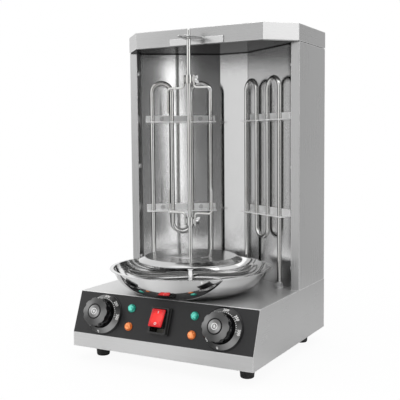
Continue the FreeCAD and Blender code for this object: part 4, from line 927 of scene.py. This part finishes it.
@dataclass
class Heaters:
    """Two elements, each one tube bent into two tall arches and a lower loop, held by angle straps."""

    tube: float = 3.3 * MM
    pitch: float = 31.5 * MM
    first_leg: float = 16.6 * MM
    standoff: float = 13 * MM
    top: float = 317 * MM
    loop: float = 69 * MM
    tail: float = 15 * MM
    pin: float = 1.5 * MM
    pin_length: float = 9 * MM
    corner: tuple[float, float] = (131.5 * MM, 39.5 * MM)
    far_corner: tuple[float, float] = (24.5 * MM, 111.5 * MM)

    def legs(self) -> list[tuple[float, float]]:
        """The four legs in plan, right side: along the wall from its front corner, a standoff before it."""
        start, end = np.array(self.corner), np.array(self.far_corner)
        run = (end - start) / np.linalg.norm(end - start)
        inward = np.array([-run[1], run[0]])
        first = start + run * self.first_leg + inward * self.standoff
        return [tuple(first + run * i * self.pitch) for i in range(4)]

    def build(self) -> None:
        """Makes both elements and dresses their straps."""
        legs = self.legs()
        low = LAYOUT.deck - self.tail
        high = LAYOUT.deck + self.top - self.tube
        loop = LAYOUT.deck + self.loop + self.tube
        heights = [low, high, high, loop, loop, high, high, low]
        nearly_half = self.pitch / 2 * 0.9999
        line = rounded([(*legs[i // 2], height, nearly_half) for i, height in enumerate(heights)], 20, 0.5)
        pins = [np.array([(x, y, low - self.pin_length), (x, y, low - self.pin_length / 2), (x, y, low)])
                for x, y in (legs[0], legs[-1])]
        for side, word in ((1, "right"), (-1, "left")):
            tubes = [swept(line, self.tube, 24)] + [swept(pin, self.pin, 12) for pin in pins]
            piece("element_" + word, [tube * np.array([side, 1, 1]) for tube in tubes],
                  DrawnSteel("element_sheath"), "housing", "heater_sheath", "heater_" + word)
        dress(BrushedSheet("strap_steel", Brush.LEVEL, 0.95, 0.40, metal=0.30),
              "upper_strap_left upper_strap_right lower_strap_left lower_strap_right")


# Cooking


@dataclass
class Cooking:
    """Drip bowl, plate, skewer and clips."""

    bowl_radius: float = 119 * MM
    bowl_rim: float = 4.5 * MM
    bowl_height: float = 36 * MM
    bowl_foot: float = 68 * MM
    bowl_sheet: float = 1 * MM
    bowl_bulge: float = 9.5 * MM
    neck: float = 10.3 * MM
    neck_height: float = 12 * MM
    plate_radius: float = 76.6 * MM
    plate_flat: float = 67 * MM
    plate_top: float = 52 * MM
    plate_drop: float = 5.3 * MM
    plate_lip: float = 2 * MM
    plate_sheet: float = 1.2 * MM
    boss: float = 30.6 * MM
    boss_rise: float = 0.8 * MM
    hub: float = 4.6 * MM
    hub_drop: float = 22 * MM
    skewer: float = 3 * MM
    skewer_top: float = 2.5 * MM
    skewer_length: float = 329 * MM
    taper: float = 18 * MM
    tip: float = 1.2 * MM
    square: float = 4.1 * MM
    square_depth: float = 8 * MM
    square_edge: float = 0.3 * MM

    def build(self) -> None:
        """Makes the turned pieces and dresses the rest."""
        steel = polished("mirror_steel")
        self.bowl(steel)
        self.plate(polished("plate_steel", 0.58, 0.16))
        self.skewer_rod(DrawnSteel("skewer_steel", flank=0.6, rough=0.12))
        dress(DrawnSteel("prong_steel", flank=0.85),
              "upper_clip_prongs lower_clip_prongs upper_clip_collar lower_clip_collar")
        dress(steel, "drive_shaft upper_thumbscrew lower_thumbscrew")

    def bowl(self, steel: Finish) -> None:
        """The bowl: an arc from its foot to its rim, offset for the inner face, turned about the spindle."""
        sheet, bore = self.bowl_sheet, self.neck
        under, rim = self.bowl_height - sheet, 0.45 * MM
        wall = self.bowl_radius - self.bowl_rim
        outer = self.arc((self.bowl_foot, 0), (wall, under))
        inner = self.arc((self.bowl_foot - sheet / 3, sheet), (wall - sheet, self.bowl_height))
        lip = rounded([
            (*outer[-1], 0), (self.bowl_radius, under, rim), (self.bowl_radius, self.bowl_height, rim),
            (*inner[-1], 0),
        ], 4)
        neck = rounded([
            (*inner[0], 0), (bore + sheet, sheet, 2 * MM), (bore + sheet, self.neck_height, 0.4 * MM),
            (bore, self.neck_height, 0.4 * MM), (bore, 0, 0.4 * MM), (*outer[0], 0),
        ], 4)
        profile = np.concatenate([outer, lip[1:-1], inner[::-1], neck[1:]])
        grid = LAYOUT.spindle().put(revolved(profile, 160))
        piece("bowl", [grid], steel, "bowl", "polished_stainless", "drip_bowl", "bowl_neck")

    def arc(self, start: tuple[float, float], end: tuple[float, float], steps: int = 28) -> np.ndarray:
        """The bowl's shallow arc: the chord plus a circle's rise over it, outwards and down.

        Args:
            start: its first point.
            end: its last point.
            steps: its points, less one.

        Returns:
            The points.
        """
        a, b, bulge = np.array(start), np.array(end), self.bowl_bulge
        chord = np.linalg.norm(b - a)
        out = np.array([b[1] - a[1], a[0] - b[0]]) / chord
        radius = (chord ** 2 / 4 + bulge ** 2) / (2 * bulge)
        along = np.linspace(-chord / 2, chord / 2, steps + 1)[:, None]
        rise = np.sqrt(radius ** 2 - along ** 2) - (radius - bulge)
        return (a + b) / 2 + (b - a) / chord * along + out * rise

    def plate(self, steel: Finish) -> None:
        """The plate: a disc with a raised middle and a bevelled edge, on its hub, turned about its axis."""
        top, sheet, boss, flat = self.plate_top, self.plate_sheet, self.boss, self.plate_flat
        edge, rise = top - self.plate_drop, top + self.boss_rise
        low, foot = edge - self.plate_lip, top - self.hub_drop
        outer, inner = self.plate_radius, self.plate_radius - sheet
        profile = rounded([
            (self.skewer, rise, 0), (boss - 1 * MM, rise, 0.8 * MM), (boss, top, 0.8 * MM),
            (flat, top, 2 * MM), (outer, edge, 1 * MM), (outer, low, 0.3 * MM), (inner, low, 0.3 * MM),
            (inner, edge - 0.4 * MM, 0.8 * MM), (flat - 0.4 * MM, top - sheet, 1.5 * MM),
            (boss, top - sheet, 0.6 * MM), (boss - 1.4 * MM, rise - sheet, 0.6 * MM),
            (self.hub, rise - sheet, 0.5 * MM), (self.hub, foot, 0.4 * MM), (0, foot, 0), (0, rise, 0),
            (self.skewer, rise, 0),
        ], 5)
        grid = LAYOUT.spindle().put(revolved(profile, 160))
        piece("plate", [grid], steel, "plate", "polished_stainless", "meat_plate", crease=50.0)

    def skewer_rod(self, steel: Finish) -> None:
        """The skewer: a rod with a tapered, rounded top, turned about the spindle, on its square foot."""
        low = self.plate_top + self.boss_rise
        top = low + self.skewer_length
        rod = revolved(rounded([
            (0, low, 0), (self.skewer, low, 0), (self.skewer, top - self.taper, 20 * MM),
            (self.skewer_top, top - self.tip, 1.2 * MM), (self.skewer_top - self.tip, top, 0.8 * MM),
            (0, top, 0),
        ], 5), 32)
        half, edge, end = self.square / 2, self.square_edge, low - self.square_depth
        foot = rounded_frame(self.square, self.square, edge, np.array([
            (half, end), (edge, end), (0, end + edge), (0, low), (half, low),
        ]), 2)
        foot[[0, -1], :, :2] = 0.0
        seat = LAYOUT.spindle()
        piece("skewer_rod", [seat.put(rod), seat.put(foot)], steel, "skewer_rod", "polished_stainless",
              "skewer")


# Controls


@dataclass
class Controls:
    """Facing, knobs with scale rings, lamps and the rocker switch."""

    knob_x: float = 96.3 * MM
    knob_radius: float = 20.3 * MM
    knob_foot: float = 18.6 * MM
    knob_height: float = 22.1 * MM
    knob_low: float = 3.4 * MM
    knob_segments: int = 240
    face_rings: tuple[float, ...] = (18 * MM, 16 * MM, 14 * MM)
    lobes: int = 10
    lobe: float = 6 * MM
    lobe_depth: float = 1.3 * MM
    lobe_thick: float = 1.3 * MM
    lobe_end: float = 13 * MM
    lobe_fade: float = 5.8 * MM
    dome: float = 1.6 * MM
    groove: float = 1.9 * MM
    cap: float = 9.1 * MM
    cap_rise: float = 0.6 * MM
    mark_ring: tuple[float, float] = (3.5 * MM, 4.6 * MM)
    mark_drop: tuple[float, float] = (1.1 * MM, 2.4 * MM)
    mark_height: float = 0.3 * MM
    mark_sunk: float = 0.12 * MM
    shaft: float = 3.05 * MM
    shaft_reach: float = 14 * MM
    ring: float = 30 * MM
    ring_bore: float = 6.5 * MM
    ring_floor: float = 2 * MM
    ring_lip: float = 1.5 * MM
    ring_lip_rise: float = 1.6 * MM
    crest_radius: float = 21.3 * MM
    crest: float = 7.7 * MM
    well: float = 20.9 * MM
    ticks_to_figure: int = 5
    ticks: int = 31
    tick_step: float = 7.5
    tick_first: float = 230.0
    tick_down: float = 1.3 * MM
    tick_width: float = 0.8 * MM
    tick_lengths: tuple[float, float] = (1.9 * MM, 1.1 * MM)
    tick_height: float = 0.14 * MM
    figures: tuple[str, ...] = ("0", "50", "100", "150", "200", "250", "300")
    figure_step: float = 45.0
    figure_first: float = 185.0
    figure_down: float = 5.2 * MM
    figure_size: float = 5.6 * MM
    figure_thick: float = 0.12 * MM
    figure_bold: float = 0.1 * MM
    lamp_x: float = 51.2 * MM
    lamp_rise: float = 13 * MM
    lamp: float = 6 * MM
    lamp_height: float = 6.4 * MM
    lamp_flange: float = 1.6 * MM
    lamp_dome: float = 5.1 * MM
    lamp_step: float = 0.5 * MM
    lamp_sides: int = 12
    lamp_segments: int = 96
    lamp_middle: float = 0.6
    frame_size: tuple[float, float] = (31 * MM, 39 * MM)
    frame_corner: float = 2.6 * MM
    frame_rise: float = 8.2 * MM
    frame_step: float = 3.4 * MM
    frame_in: float = 1.2 * MM
    opening: tuple[float, float] = (22.1 * MM, 32.13 * MM)
    barrel_depth: float = 10 * MM
    barrel_wall: float = 1.5 * MM
    rocker_size: tuple[float, float] = (21.5 * MM, 26.2 * MM)
    rocker_corner: float = 1.6 * MM
    rocker_rise: float = 14.2 * MM
    rocker_low: float = -4 * MM
    rocker_waist: float = 2 * MM
    rocker_hollow: float = 1 * MM
    rocker_dish: float = 0.25 * MM
    rocker_lit: float = 3 * MM
    rocker_lean: float = math.radians(12)
    rocker_mark: float = 8.2 * MM
    rocker_mark_sunk: float = 0.75 * MM
    pivot: float = 1 * MM

    def build(self) -> None:
        """Makes all the controls."""
        dress(FACING, "control_panel")
        dress(plated("shaft_steel"), "thermostat_shaft_left thermostat_shaft_right")
        for side, word in ((-1, "left"), (1, "right")):
            self.scale_ring(side, word)
            self.knob(side, word)
        self.lamps(self.lamp_rise, "green", (0.14, 0.66, 0.54), (0.0, 0.14, 0.10))
        self.lamps(-self.lamp_rise, "orange", (0.92, 0.34, 0.13), (0.38, 0.08, 0.01))
        self.switch_surround()
        self.rocker()

    def turned_face(self, name: str, seat: Seat, **sizes: float) -> Finish:
        """A turned finish centred on a seat on the slope."""
        return TurnedFace(name, centre=seat.origin, turn=LAYOUT.tilt - math.pi / 2, **sizes)

    def knob(self, side: int, word: str) -> None:
        """A knob: its profile turned about the shaft, its edge drawn in by a ring of scallops, and its cap.

        A scallop is the distance from the knob's edge to a circle centred just outside it. The flank stops at
        that circle, so the scallops run out towards the narrower foot, and on the face they fade out inwards.

        Args:
            side: -1 for the left one, 1 for the right one.
            word: the side's name.
        """
        height, edge = self.knob_height, self.knob_radius
        dome, hollow = height + self.dome, self.cap + self.groove
        sunk = dome - self.groove / 2
        face_run = [(x, height + self.dome * (edge - x) / (edge - hollow), 0) for x in self.face_rings]
        profile = rounded([
            (self.shaft, 0, 0), (self.knob_foot, 0, 0.6 * MM), (edge, height, 1.2 * MM), *face_run,
            (hollow, dome, 0.3 * MM), (hollow, sunk, 0.2 * MM), (0, sunk, 0),
        ])
        socket = np.array([(0, self.shaft_reach), (self.shaft, self.shaft_reach), (self.shaft, 0)])
        profile = np.concatenate([socket, profile[1:]])
        grid = revolved(profile, self.knob_segments)
        step = 2 * np.pi / self.lobes
        off = full_turn(self.knob_segments) % step - step / 2
        centre = edge + self.lobe - self.lobe_depth
        under = np.clip(self.lobe ** 2 - (centre * np.sin(off)) ** 2, 0, None)
        reach = np.where(under > 0, centre * np.cos(off) - np.sqrt(under), edge)[None, :]
        radius = profile[:, :1]
        on_face = profile[:, 1:] > height - self.lobe_thick
        fade = np.clip((radius - self.lobe_end) / self.lobe_fade, 0, 1)
        bite = np.where(on_face, fade * np.clip(edge - reach, 0, None), np.clip(radius - reach, 0, None))
        grid[..., :2] *= (1 - bite / np.maximum(radius, 1e-6))[..., None]
        seat = LAYOUT.slope(side * self.knob_x, 0, self.knob_low)
        body = word + "_knob"
        # The face and the cap carry a painted highlight fanned round the shaft.
        painted_sheen = self.turned_face("knob_face_" + word, seat, inner=hollow, outer=1.0, over=height - 0.7 * MM,
                                 dark=0.07, light=0.16, phase=2.4, metal=0.5)
        piece("grip_" + word, [seat.put(grid)], painted_sheen, body, "knob_black", "knob_" + word)
        top = dome + self.cap_rise
        disc = revolved(rounded([
            (0, sunk, 0), (self.cap, sunk, 0.1 * MM), (self.cap, top, 0.5 * MM), (0, top - 0.1 * MM, 0),
        ], 5), 64)
        bright = self.turned_face("knob_cap_" + word, seat, dark=0.16, light=0.26, phase=2.4)
        piece("cap_" + word, [seat.put(disc)], bright, body, "knob_black")
        marks = [seat.put(mark + [0, 0, top - self.mark_sunk]) for mark in self.pointer_mark()]
        piece("knob_mark_" + word, marks, PrintedMark("knob_print", (0.80, 0.80, 0.80)), body, "knob_black")

    def pointer_mark(self) -> list[np.ndarray]:
        """A thin ring and a drop in it, raised a little: an ellipse at each height, to a point on top."""
        high, segments = self.mark_height, 48
        angle = full_turn(segments)
        height = np.array([0, high, high, high, 0])[:, None]
        size = np.array([1.0, 1.0, 0.5, 0.0, 0.0])[:, None]
        half_width, half_length = self.mark_drop
        x, y = half_width * np.cos(angle) * size, half_length * np.sin(angle) * size
        return [printed_ring(*self.mark_ring, high, segments), np.stack([x, y, height + 0 * x], axis=-1)]

    def scale_ring(self, side: int, word: str) -> None:
        """A scale ring: a black lip, a cone up to the crest round the knob, and a well, turned about z.

        Args:
            side: -1 for the left one, 1 for the right one.
            word: the side's name.
        """
        lip, edge = self.ring - self.ring_lip, 0.2 * MM
        profile = rounded([
            (self.ring_bore, 0, 0), (self.ring, 0, 0.1 * MM), (self.ring, self.ring_lip_rise / 2, 0.3 * MM),
            (lip, self.ring_lip_rise, edge), (self.crest_radius, self.crest, edge),
            (self.well, self.crest, edge), (self.well, self.ring_floor, 0.3 * MM),
            (self.ring_bore, self.ring_floor, edge), (self.ring_bore, 0, 0),
        ], 4)
        seat = LAYOUT.slope(side * self.knob_x, 0, LAYOUT.facing)
        # The scale's cone carries a painted highlight fanned round the shaft.
        finish = self.turned_face("scale_face_" + word, seat, inner=self.crest_radius, outer=lip - 0.7 * MM,
                                  dark=0.035, light=0.30, phase=math.pi)
        piece("scale_ring_" + word, [seat.put(revolved(profile, 128))], finish, "housing", "knob_black",
              "dial_" + word)
        white = PrintedMark("scale_print", (0.97, 0.97, 0.96))
        bars = [seat.put(self.tick(number)) for number in range(self.ticks)]
        piece("scale_ticks_" + word, bars, white, "housing", "knob_black")
        self.scale_figures(seat, word, white)

    def on_ring(self, flat: np.ndarray, clockwise: float, down: float) -> np.ndarray:
        """Flat points laid on the cone: x goes round it, y down its slant and z out of its face.

        Args:
            flat: the points, the last axis being x, y and z.
            clockwise: the angle in degrees from the top of the ring.
            down: how far down the slant from the crest they start.

        Returns:
            The points on the ring.
        """
        fall = np.array([self.ring - self.ring_lip - self.crest_radius, self.crest - self.ring_lip_rise])
        aside, drop = fall / np.linalg.norm(fall)
        along = down + flat[..., 1]
        radius = self.crest_radius + along * aside + flat[..., 2] * drop
        height = self.crest - along * drop + flat[..., 2] * aside
        angle = math.radians(clockwise) + flat[..., 0] / (self.crest_radius + down * aside)
        return np.stack([radius * np.sin(angle), radius * np.cos(angle), height], axis=-1)

    def tick(self, number: int) -> np.ndarray:
        """A small raised bar at the crest, longer where it stands at a figure."""
        length = self.tick_lengths[number % self.ticks_to_figure != 0]
        bar = printed_bar(self.tick_width, length, 0.1 * MM, 0.2 * MM, self.tick_height)
        bar[[0, -1], :, 1] *= 0.5
        return self.on_ring(bar, self.tick_first + number * self.tick_step, self.tick_down)

    def scale_figures(self, seat: Seat, word: str, finish: Finish) -> None:
        """The scale's figures, cut as thin letters and laid on the ring with their feet inwards.

        Args:
            seat: the ring's seat.
            word: the side's name.
            finish: the print.
        """
        corners, faces, base = [], [], 0
        for i, figure in enumerate(self.figures):
            points, polygons = self.letters(figure)
            clockwise = self.figure_first + self.figure_step * i
            corners.append(seat.put(self.on_ring(points, clockwise, self.figure_down)))
            faces += [tuple(v + base for v in polygon) for polygon in polygons]
            base += len(points)
        mesh = bpy.data.meshes.new("scale_figures_" + word)
        mesh.from_pydata(np.concatenate(corners).tolist(), [], faces)
        mesh.materials.append(finish.material())
        shown(placed(mesh.name, mesh), "housing", "knob_black")

    def letters(self, text: str) -> tuple[np.ndarray, list[tuple[int, ...]]]:
        """A word as a thin solid centred on the origin.

        Args:
            text: the word.

        Returns:
            Its corners and its faces.
        """
        curve = bpy.data.curves.new("letters", "FONT")
        curve.body, curve.size = text, self.figure_size
        curve.extrude, curve.offset = self.figure_thick / 2, self.figure_bold
        curve.align_x = curve.align_y = "CENTER"
        curve.resolution_u = 3
        holder = placed("letters", curve)
        mesh = bpy.data.meshes.new_from_object(holder)
        points = np.empty(len(mesh.vertices) * 3)
        mesh.vertices.foreach_get("co", points)
        polygons = [tuple(polygon.vertices) for polygon in mesh.polygons]
        bpy.data.objects.remove(holder)
        bpy.data.curves.remove(curve)
        bpy.data.meshes.remove(mesh)
        return points.reshape(-1, 3) + [0, 0, self.figure_thick / 2], polygons

    def lamps(self, rise: float, name: str, core: Colour, rim: Colour) -> None:
        """A pair of lamps: a flange, then a dome of flat facets, whose radius is a polygon's at each angle.

        Args:
            rise: how far up the slope they sit.
            name: their colour's name.
            core: the colour of the lit middle.
            rim: the colour of the rim.
        """
        low = self.lamp_flange + self.lamp_step
        swing = np.linspace(0, math.pi / 2, 8)[:, None]
        bulge = self.lamp_height - low
        dome = np.concatenate([self.lamp_dome * np.cos(swing), low + bulge * np.sin(swing)], axis=1)
        flange = rounded([
            (0, 0, 0), (self.lamp, 0, 0.2 * MM), (self.lamp, self.lamp_flange, 0.5 * MM),
            (self.lamp_dome, low, 0.2 * MM), (*dome[1], 0),
        ], 4)
        profile = np.concatenate([flange, dome[2:]])
        grid = revolved(profile, self.lamp_segments)
        side = 2 * np.pi / self.lamp_sides
        facet = np.cos(side / 2) / np.cos(full_turn(self.lamp_segments) % side - side / 2)
        on_dome = (profile[:, 1] > low)[:, None]
        grid[..., :2] *= np.where(on_dome, facet[None, :], 1.0)[..., None]
        seats = [LAYOUT.slope(hand * self.lamp_x, rise, LAYOUT.facing) for hand in (-1, 1)]
        middles = tuple(seat.over(self.lamp_height * self.lamp_middle) for seat in seats)
        finish = LensPlastic(name + "_lens_lit", core, rim, 0.50, self.lamp * 1.1, sparkle=0.8,
                             centres=middles)
        piece(name + "_lamps", [seat.put(grid) for seat in seats], finish, "housing", name + "_lens",
              name + "_lenses", crease=12.0)

    def switch_surround(self) -> None:
        """The switch's stepped frame: one closed profile carried round a rounded rectangle."""
        width, length = self.frame_size
        bore = (width - self.opening[0]) / 2
        outside = bore - self.barrel_wall
        low = -self.barrel_depth - LAYOUT.facing
        profile = rounded([
            (outside, 0, 0), (0, 0, 0.3 * MM), (0, self.frame_step, 0.7 * MM),
            (self.frame_in, self.frame_step, 0.3 * MM), (self.frame_in, self.frame_rise, 0.9 * MM),
            (bore, self.frame_rise, 0.6 * MM), (bore, low, 0.1 * MM), (outside, low, 0.1 * MM),
            (outside, 0, 0),
        ], 4)
        grid = rounded_frame(width, length, self.frame_corner, profile)
        stretch = (length - self.opening[1]) / 2 / bore
        y = grid[..., 1]
        grid[..., 1] = np.sign(y) * (length / 2 - (length / 2 - np.abs(y)) * stretch)
        seat = LAYOUT.slope(0, 0, LAYOUT.facing)
        black = moulded("switch_black", (0.008, 0.008, 0.009), 0.16, 0.25)
        piece("switch_surround", [seat.put(grid)], black, "housing", "switch_black", "switch_frame")

    def rocker(self) -> None:
        """The lit rocker: a rounded block with a hollow face, black below its lit part, and its two marks."""
        width, length = self.rocker_size
        rise, low, waist = self.rocker_rise, self.rocker_low, self.rocker_waist
        seat = LAYOUT.slope(0, 0, self.pivot, -self.rocker_lean)
        dish = rise - self.rocker_dish
        profile = np.array([
            (width / 2, low), (0.2 * MM, low), (0.1 * MM, waist), (0.1 * MM, rise - 1.2 * MM),
            (0.35 * MM, rise - 0.4 * MM), (1.1 * MM, rise), (2.2 * MM, rise), (2.9 * MM, dish),
            (width / 2, dish),
        ])
        grid = rounded_frame(width, length, self.rocker_corner, profile, 5)
        grid[[0, -1], :, 0] = 0.0
        grid[..., 1] *= np.interp(profile[:, 1], [low, waist, rise], [0.5, 0.85, 1.0])[:, None]
        along = np.abs(grid[..., 1]) / (length / 2)
        grid[..., 2] -= np.where(grid[..., 2] > 3 * MM, (1 - along ** 2) * self.rocker_hollow, 0.0)
        lit = LensPlastic("rocker_lit", (0.84, 0.028, 0.024), (0.42, 0.003, 0.008), 0.45, 15 * MM,
                          centres=(seat.over(rise),))
        made = piece("rocker_lens", [seat.put(grid)], lit, "rocker", "red_lens", "switch_rocker")
        made.data.materials.append(moulded("rocker_black", (0.010, 0.010, 0.011), 0.25).material())
        centres = np.empty(len(made.data.polygons) * 3)
        made.data.polygons.foreach_get("center", centres)
        height = (centres.reshape(-1, 3) - np.array(seat.origin)) @ np.array(seat.out)
        made.data.polygons.foreach_set("material_index", (height < rise - self.rocker_lit).astype(np.int32))
        level = rise - self.rocker_mark_sunk
        bar = printed_bar(0.9 * MM, 3.6 * MM, 0.2 * MM, 0.4 * MM, 0.25 * MM) + [0, self.rocker_mark, level]
        ring = printed_ring(1.1 * MM, 1.9 * MM, 0.25 * MM, 40) + [0, -self.rocker_mark, level]
        piece("rocker_marks", [seat.put(bar), seat.put(ring)], PrintedMark("rocker_print", (0.9, 0.85, 0.85)),
              "rocker", "red_lens")


# Studio


@dataclass
class Studio:
    """Camera, floor, soft lights and the surroundings that the steel mirrors."""

    eye: Point = (535.2 * MM, -981.9 * MM, 318.8 * MM)
    azimuth: float = 28.74
    down: float = 4.58
    roll: float = -0.48
    focal_pixels: float = 741.66
    picture: float = 400.0
    sensor: float = 36.0
    floor_size: float = 9.0
    aim: Point = (0.0, 0.0, 0.22)
    panels: tuple[tuple[str, Point, float, float], ...] = (
        ("top", (0.1, -0.3, 1.5), 1.4, 6.0),
        ("left", (-1.4, -1.0, 0.9), 1.2, 3.0),
        ("right", (1.5, -0.5, 0.8), 0.8, 2.0),
    )
    levels: tuple[tuple[float, float], ...] = (
        (-180, 1.0), (-110, 1.0), (-90, 0.7), (-60, 0.8), (-48, 0.8), (-38, 0.62), (-33, 0.72), (-27, 0.95),
        (-20, 1.0), (-6, 0.75), (4, 0.5), (14, 0.14), (56, 0.14), (62, 1.0), (82, 1.0), (100, 0.6),
        (151, 0.5), (170, 0.8), (180, 1.0),
    )
    slit: float = 37.2
    slit_half: float = 0.65
    slit_soft: float = 0.35
    slit_level: float = 2.2

    def build(self) -> None:
        """Sets the stage."""
        self.camera()
        self.floor()
        self.surroundings()
        self.lights()
        bpy.context.scene.view_settings.view_transform = "Standard"

    def camera(self) -> None:
        """The photograph's viewpoint: turned by azimuth, tipped down and rolled a little."""
        a, d, r = (math.radians(v) for v in (self.azimuth, self.down, self.roll))
        ahead = Vector((-math.sin(a) * math.cos(d), math.cos(a) * math.cos(d), -math.sin(d)))
        right = Vector((math.cos(a), math.sin(a), 0.0))
        up = right.cross(ahead)
        tilted = right * math.cos(r) + up * math.sin(r)
        raised = up * math.cos(r) - right * math.sin(r)
        matrix = Matrix((tilted, raised, -ahead)).transposed().to_4x4()
        matrix.translation = Vector(self.eye)
        data = bpy.data.cameras.new("view")
        data.sensor_width = self.sensor
        data.sensor_fit = "HORIZONTAL"
        data.lens = self.focal_pixels / self.picture * self.sensor
        data.clip_start = 0.01
        holder = placed("view", data)
        holder.matrix_world = matrix
        bpy.context.scene.camera = holder

    def room(self, graph: Graph, across: Value, away: Value) -> Value:
        """How bright the room is each way: soft panels, a dark opening with one bright slit, and grey sides.

        Args:
            graph: the node tree.
            across: the direction's part along x.
            away: the direction's part along y.

        Returns:
            The level, 1 being white.
        """
        side = across.angle_of(away * -1.0) * (180 / math.pi)
        stops = [((angle + 180) / 360, (level, level, level)) for angle, level in self.levels]
        panels = graph.value("ShaderNodeValToRGB", {"stops": stops}, {0: side * (1 / 360) + 0.5})
        start, end, soft = self.slit - self.slit_half, self.slit + self.slit_half, self.slit_soft
        slit = side.band(start - soft, start + soft) * (1.0 - side.band(end - soft, end + soft))
        return panels + slit * self.slit_level

    def floor(self) -> None:
        """A pale floor that takes a soft shadow near the object and melts into white further out."""
        half = self.floor_size / 2
        corners = [(-half, -half, 0), (half, -half, 0), (half, half, 0), (-half, half, 0)]
        mesh = bpy.data.meshes.new("floor")
        mesh.from_pydata(corners, [], [(0, 1, 2, 3)])
        material = bpy.data.materials.new("pale_floor")
        material.use_nodes = True
        graph = Graph(material.node_tree)
        across, away, _ = graph.parts(graph.point())
        far = graph.measure("LENGTH", graph.point()).band(0.25, 0.9)
        paint = graph.grey(0.90 + (graph.noise(40.0, 2.0) - 0.5) * 0.01)
        matt = graph.add("ShaderNodeBsdfDiffuse", None, {0: paint})
        rays = graph.add("ShaderNodeLightPath").outputs
        mirrored = Value(graph, rays["Is Glossy Ray"])
        seen = Value(graph, rays["Is Camera Ray"]) + Value(graph, rays["Is Transmission Ray"])
        level = self.room(graph, across, away) * 0.75 + 0.2
        colour = graph.blend(mirrored, WHITE, graph.grey(level))
        white = graph.add("ShaderNodeEmission", None, {0: colour, 1: 1.0})
        share = seen * (0.93 + far * 0.07) + mirrored * (0.45 + far * 0.55)
        mixed = graph.add("ShaderNodeMixShader", None, {0: share, 1: matt.outputs[0], 2: white.outputs[0]})
        graph.add("ShaderNodeOutputMaterial", None, {"Surface": mixed.outputs[0]})
        mesh.materials.append(material)
        placed("floor", mesh)

    def surroundings(self) -> None:
        """The room: white to the camera, and to the steel a studio with bright and dark sides."""
        world = bpy.data.worlds.new("studio")
        bpy.context.scene.world = world
        world.use_nodes = True
        graph = Graph(world.node_tree)
        x, y, z = graph.parts(graph.add("ShaderNodeTexCoord").outputs["Generated"])
        overhead = z.band(0.35, 0.8)
        level = self.room(graph, x, y) * (1.0 - overhead) + overhead
        to_camera = graph.value("ShaderNodeLightPath", output="Is Camera Ray")
        seen = graph.blend(to_camera, graph.grey(level), WHITE)
        back = graph.add("ShaderNodeBackground", None, {0: seen, 1: 1.0})
        graph.add("ShaderNodeOutputWorld", None, {"Surface": back.outputs[0]})

    def lights(self) -> None:
        """Soft panels over and beside the object, turned to its middle."""
        for name, place, size, power in self.panels:
            data = bpy.data.lights.new(name, "AREA")
            data.size = size
            data.energy = power
            turned = (Vector(self.aim) - Vector(place)).to_track_quat("-Z", "Y").to_matrix().to_4x4()
            placed(name, data).matrix_world = Matrix.Translation(place) @ turned


def main() -> None:
    """Builds the stage and every sub-assembly in order."""
    for part in (Studio(), Housing(), Heaters(), Cooking(), Controls()):
        LOG.info("building %s", type(part).__name__)
        part.build()


if __name__ == "__main__":
    main()
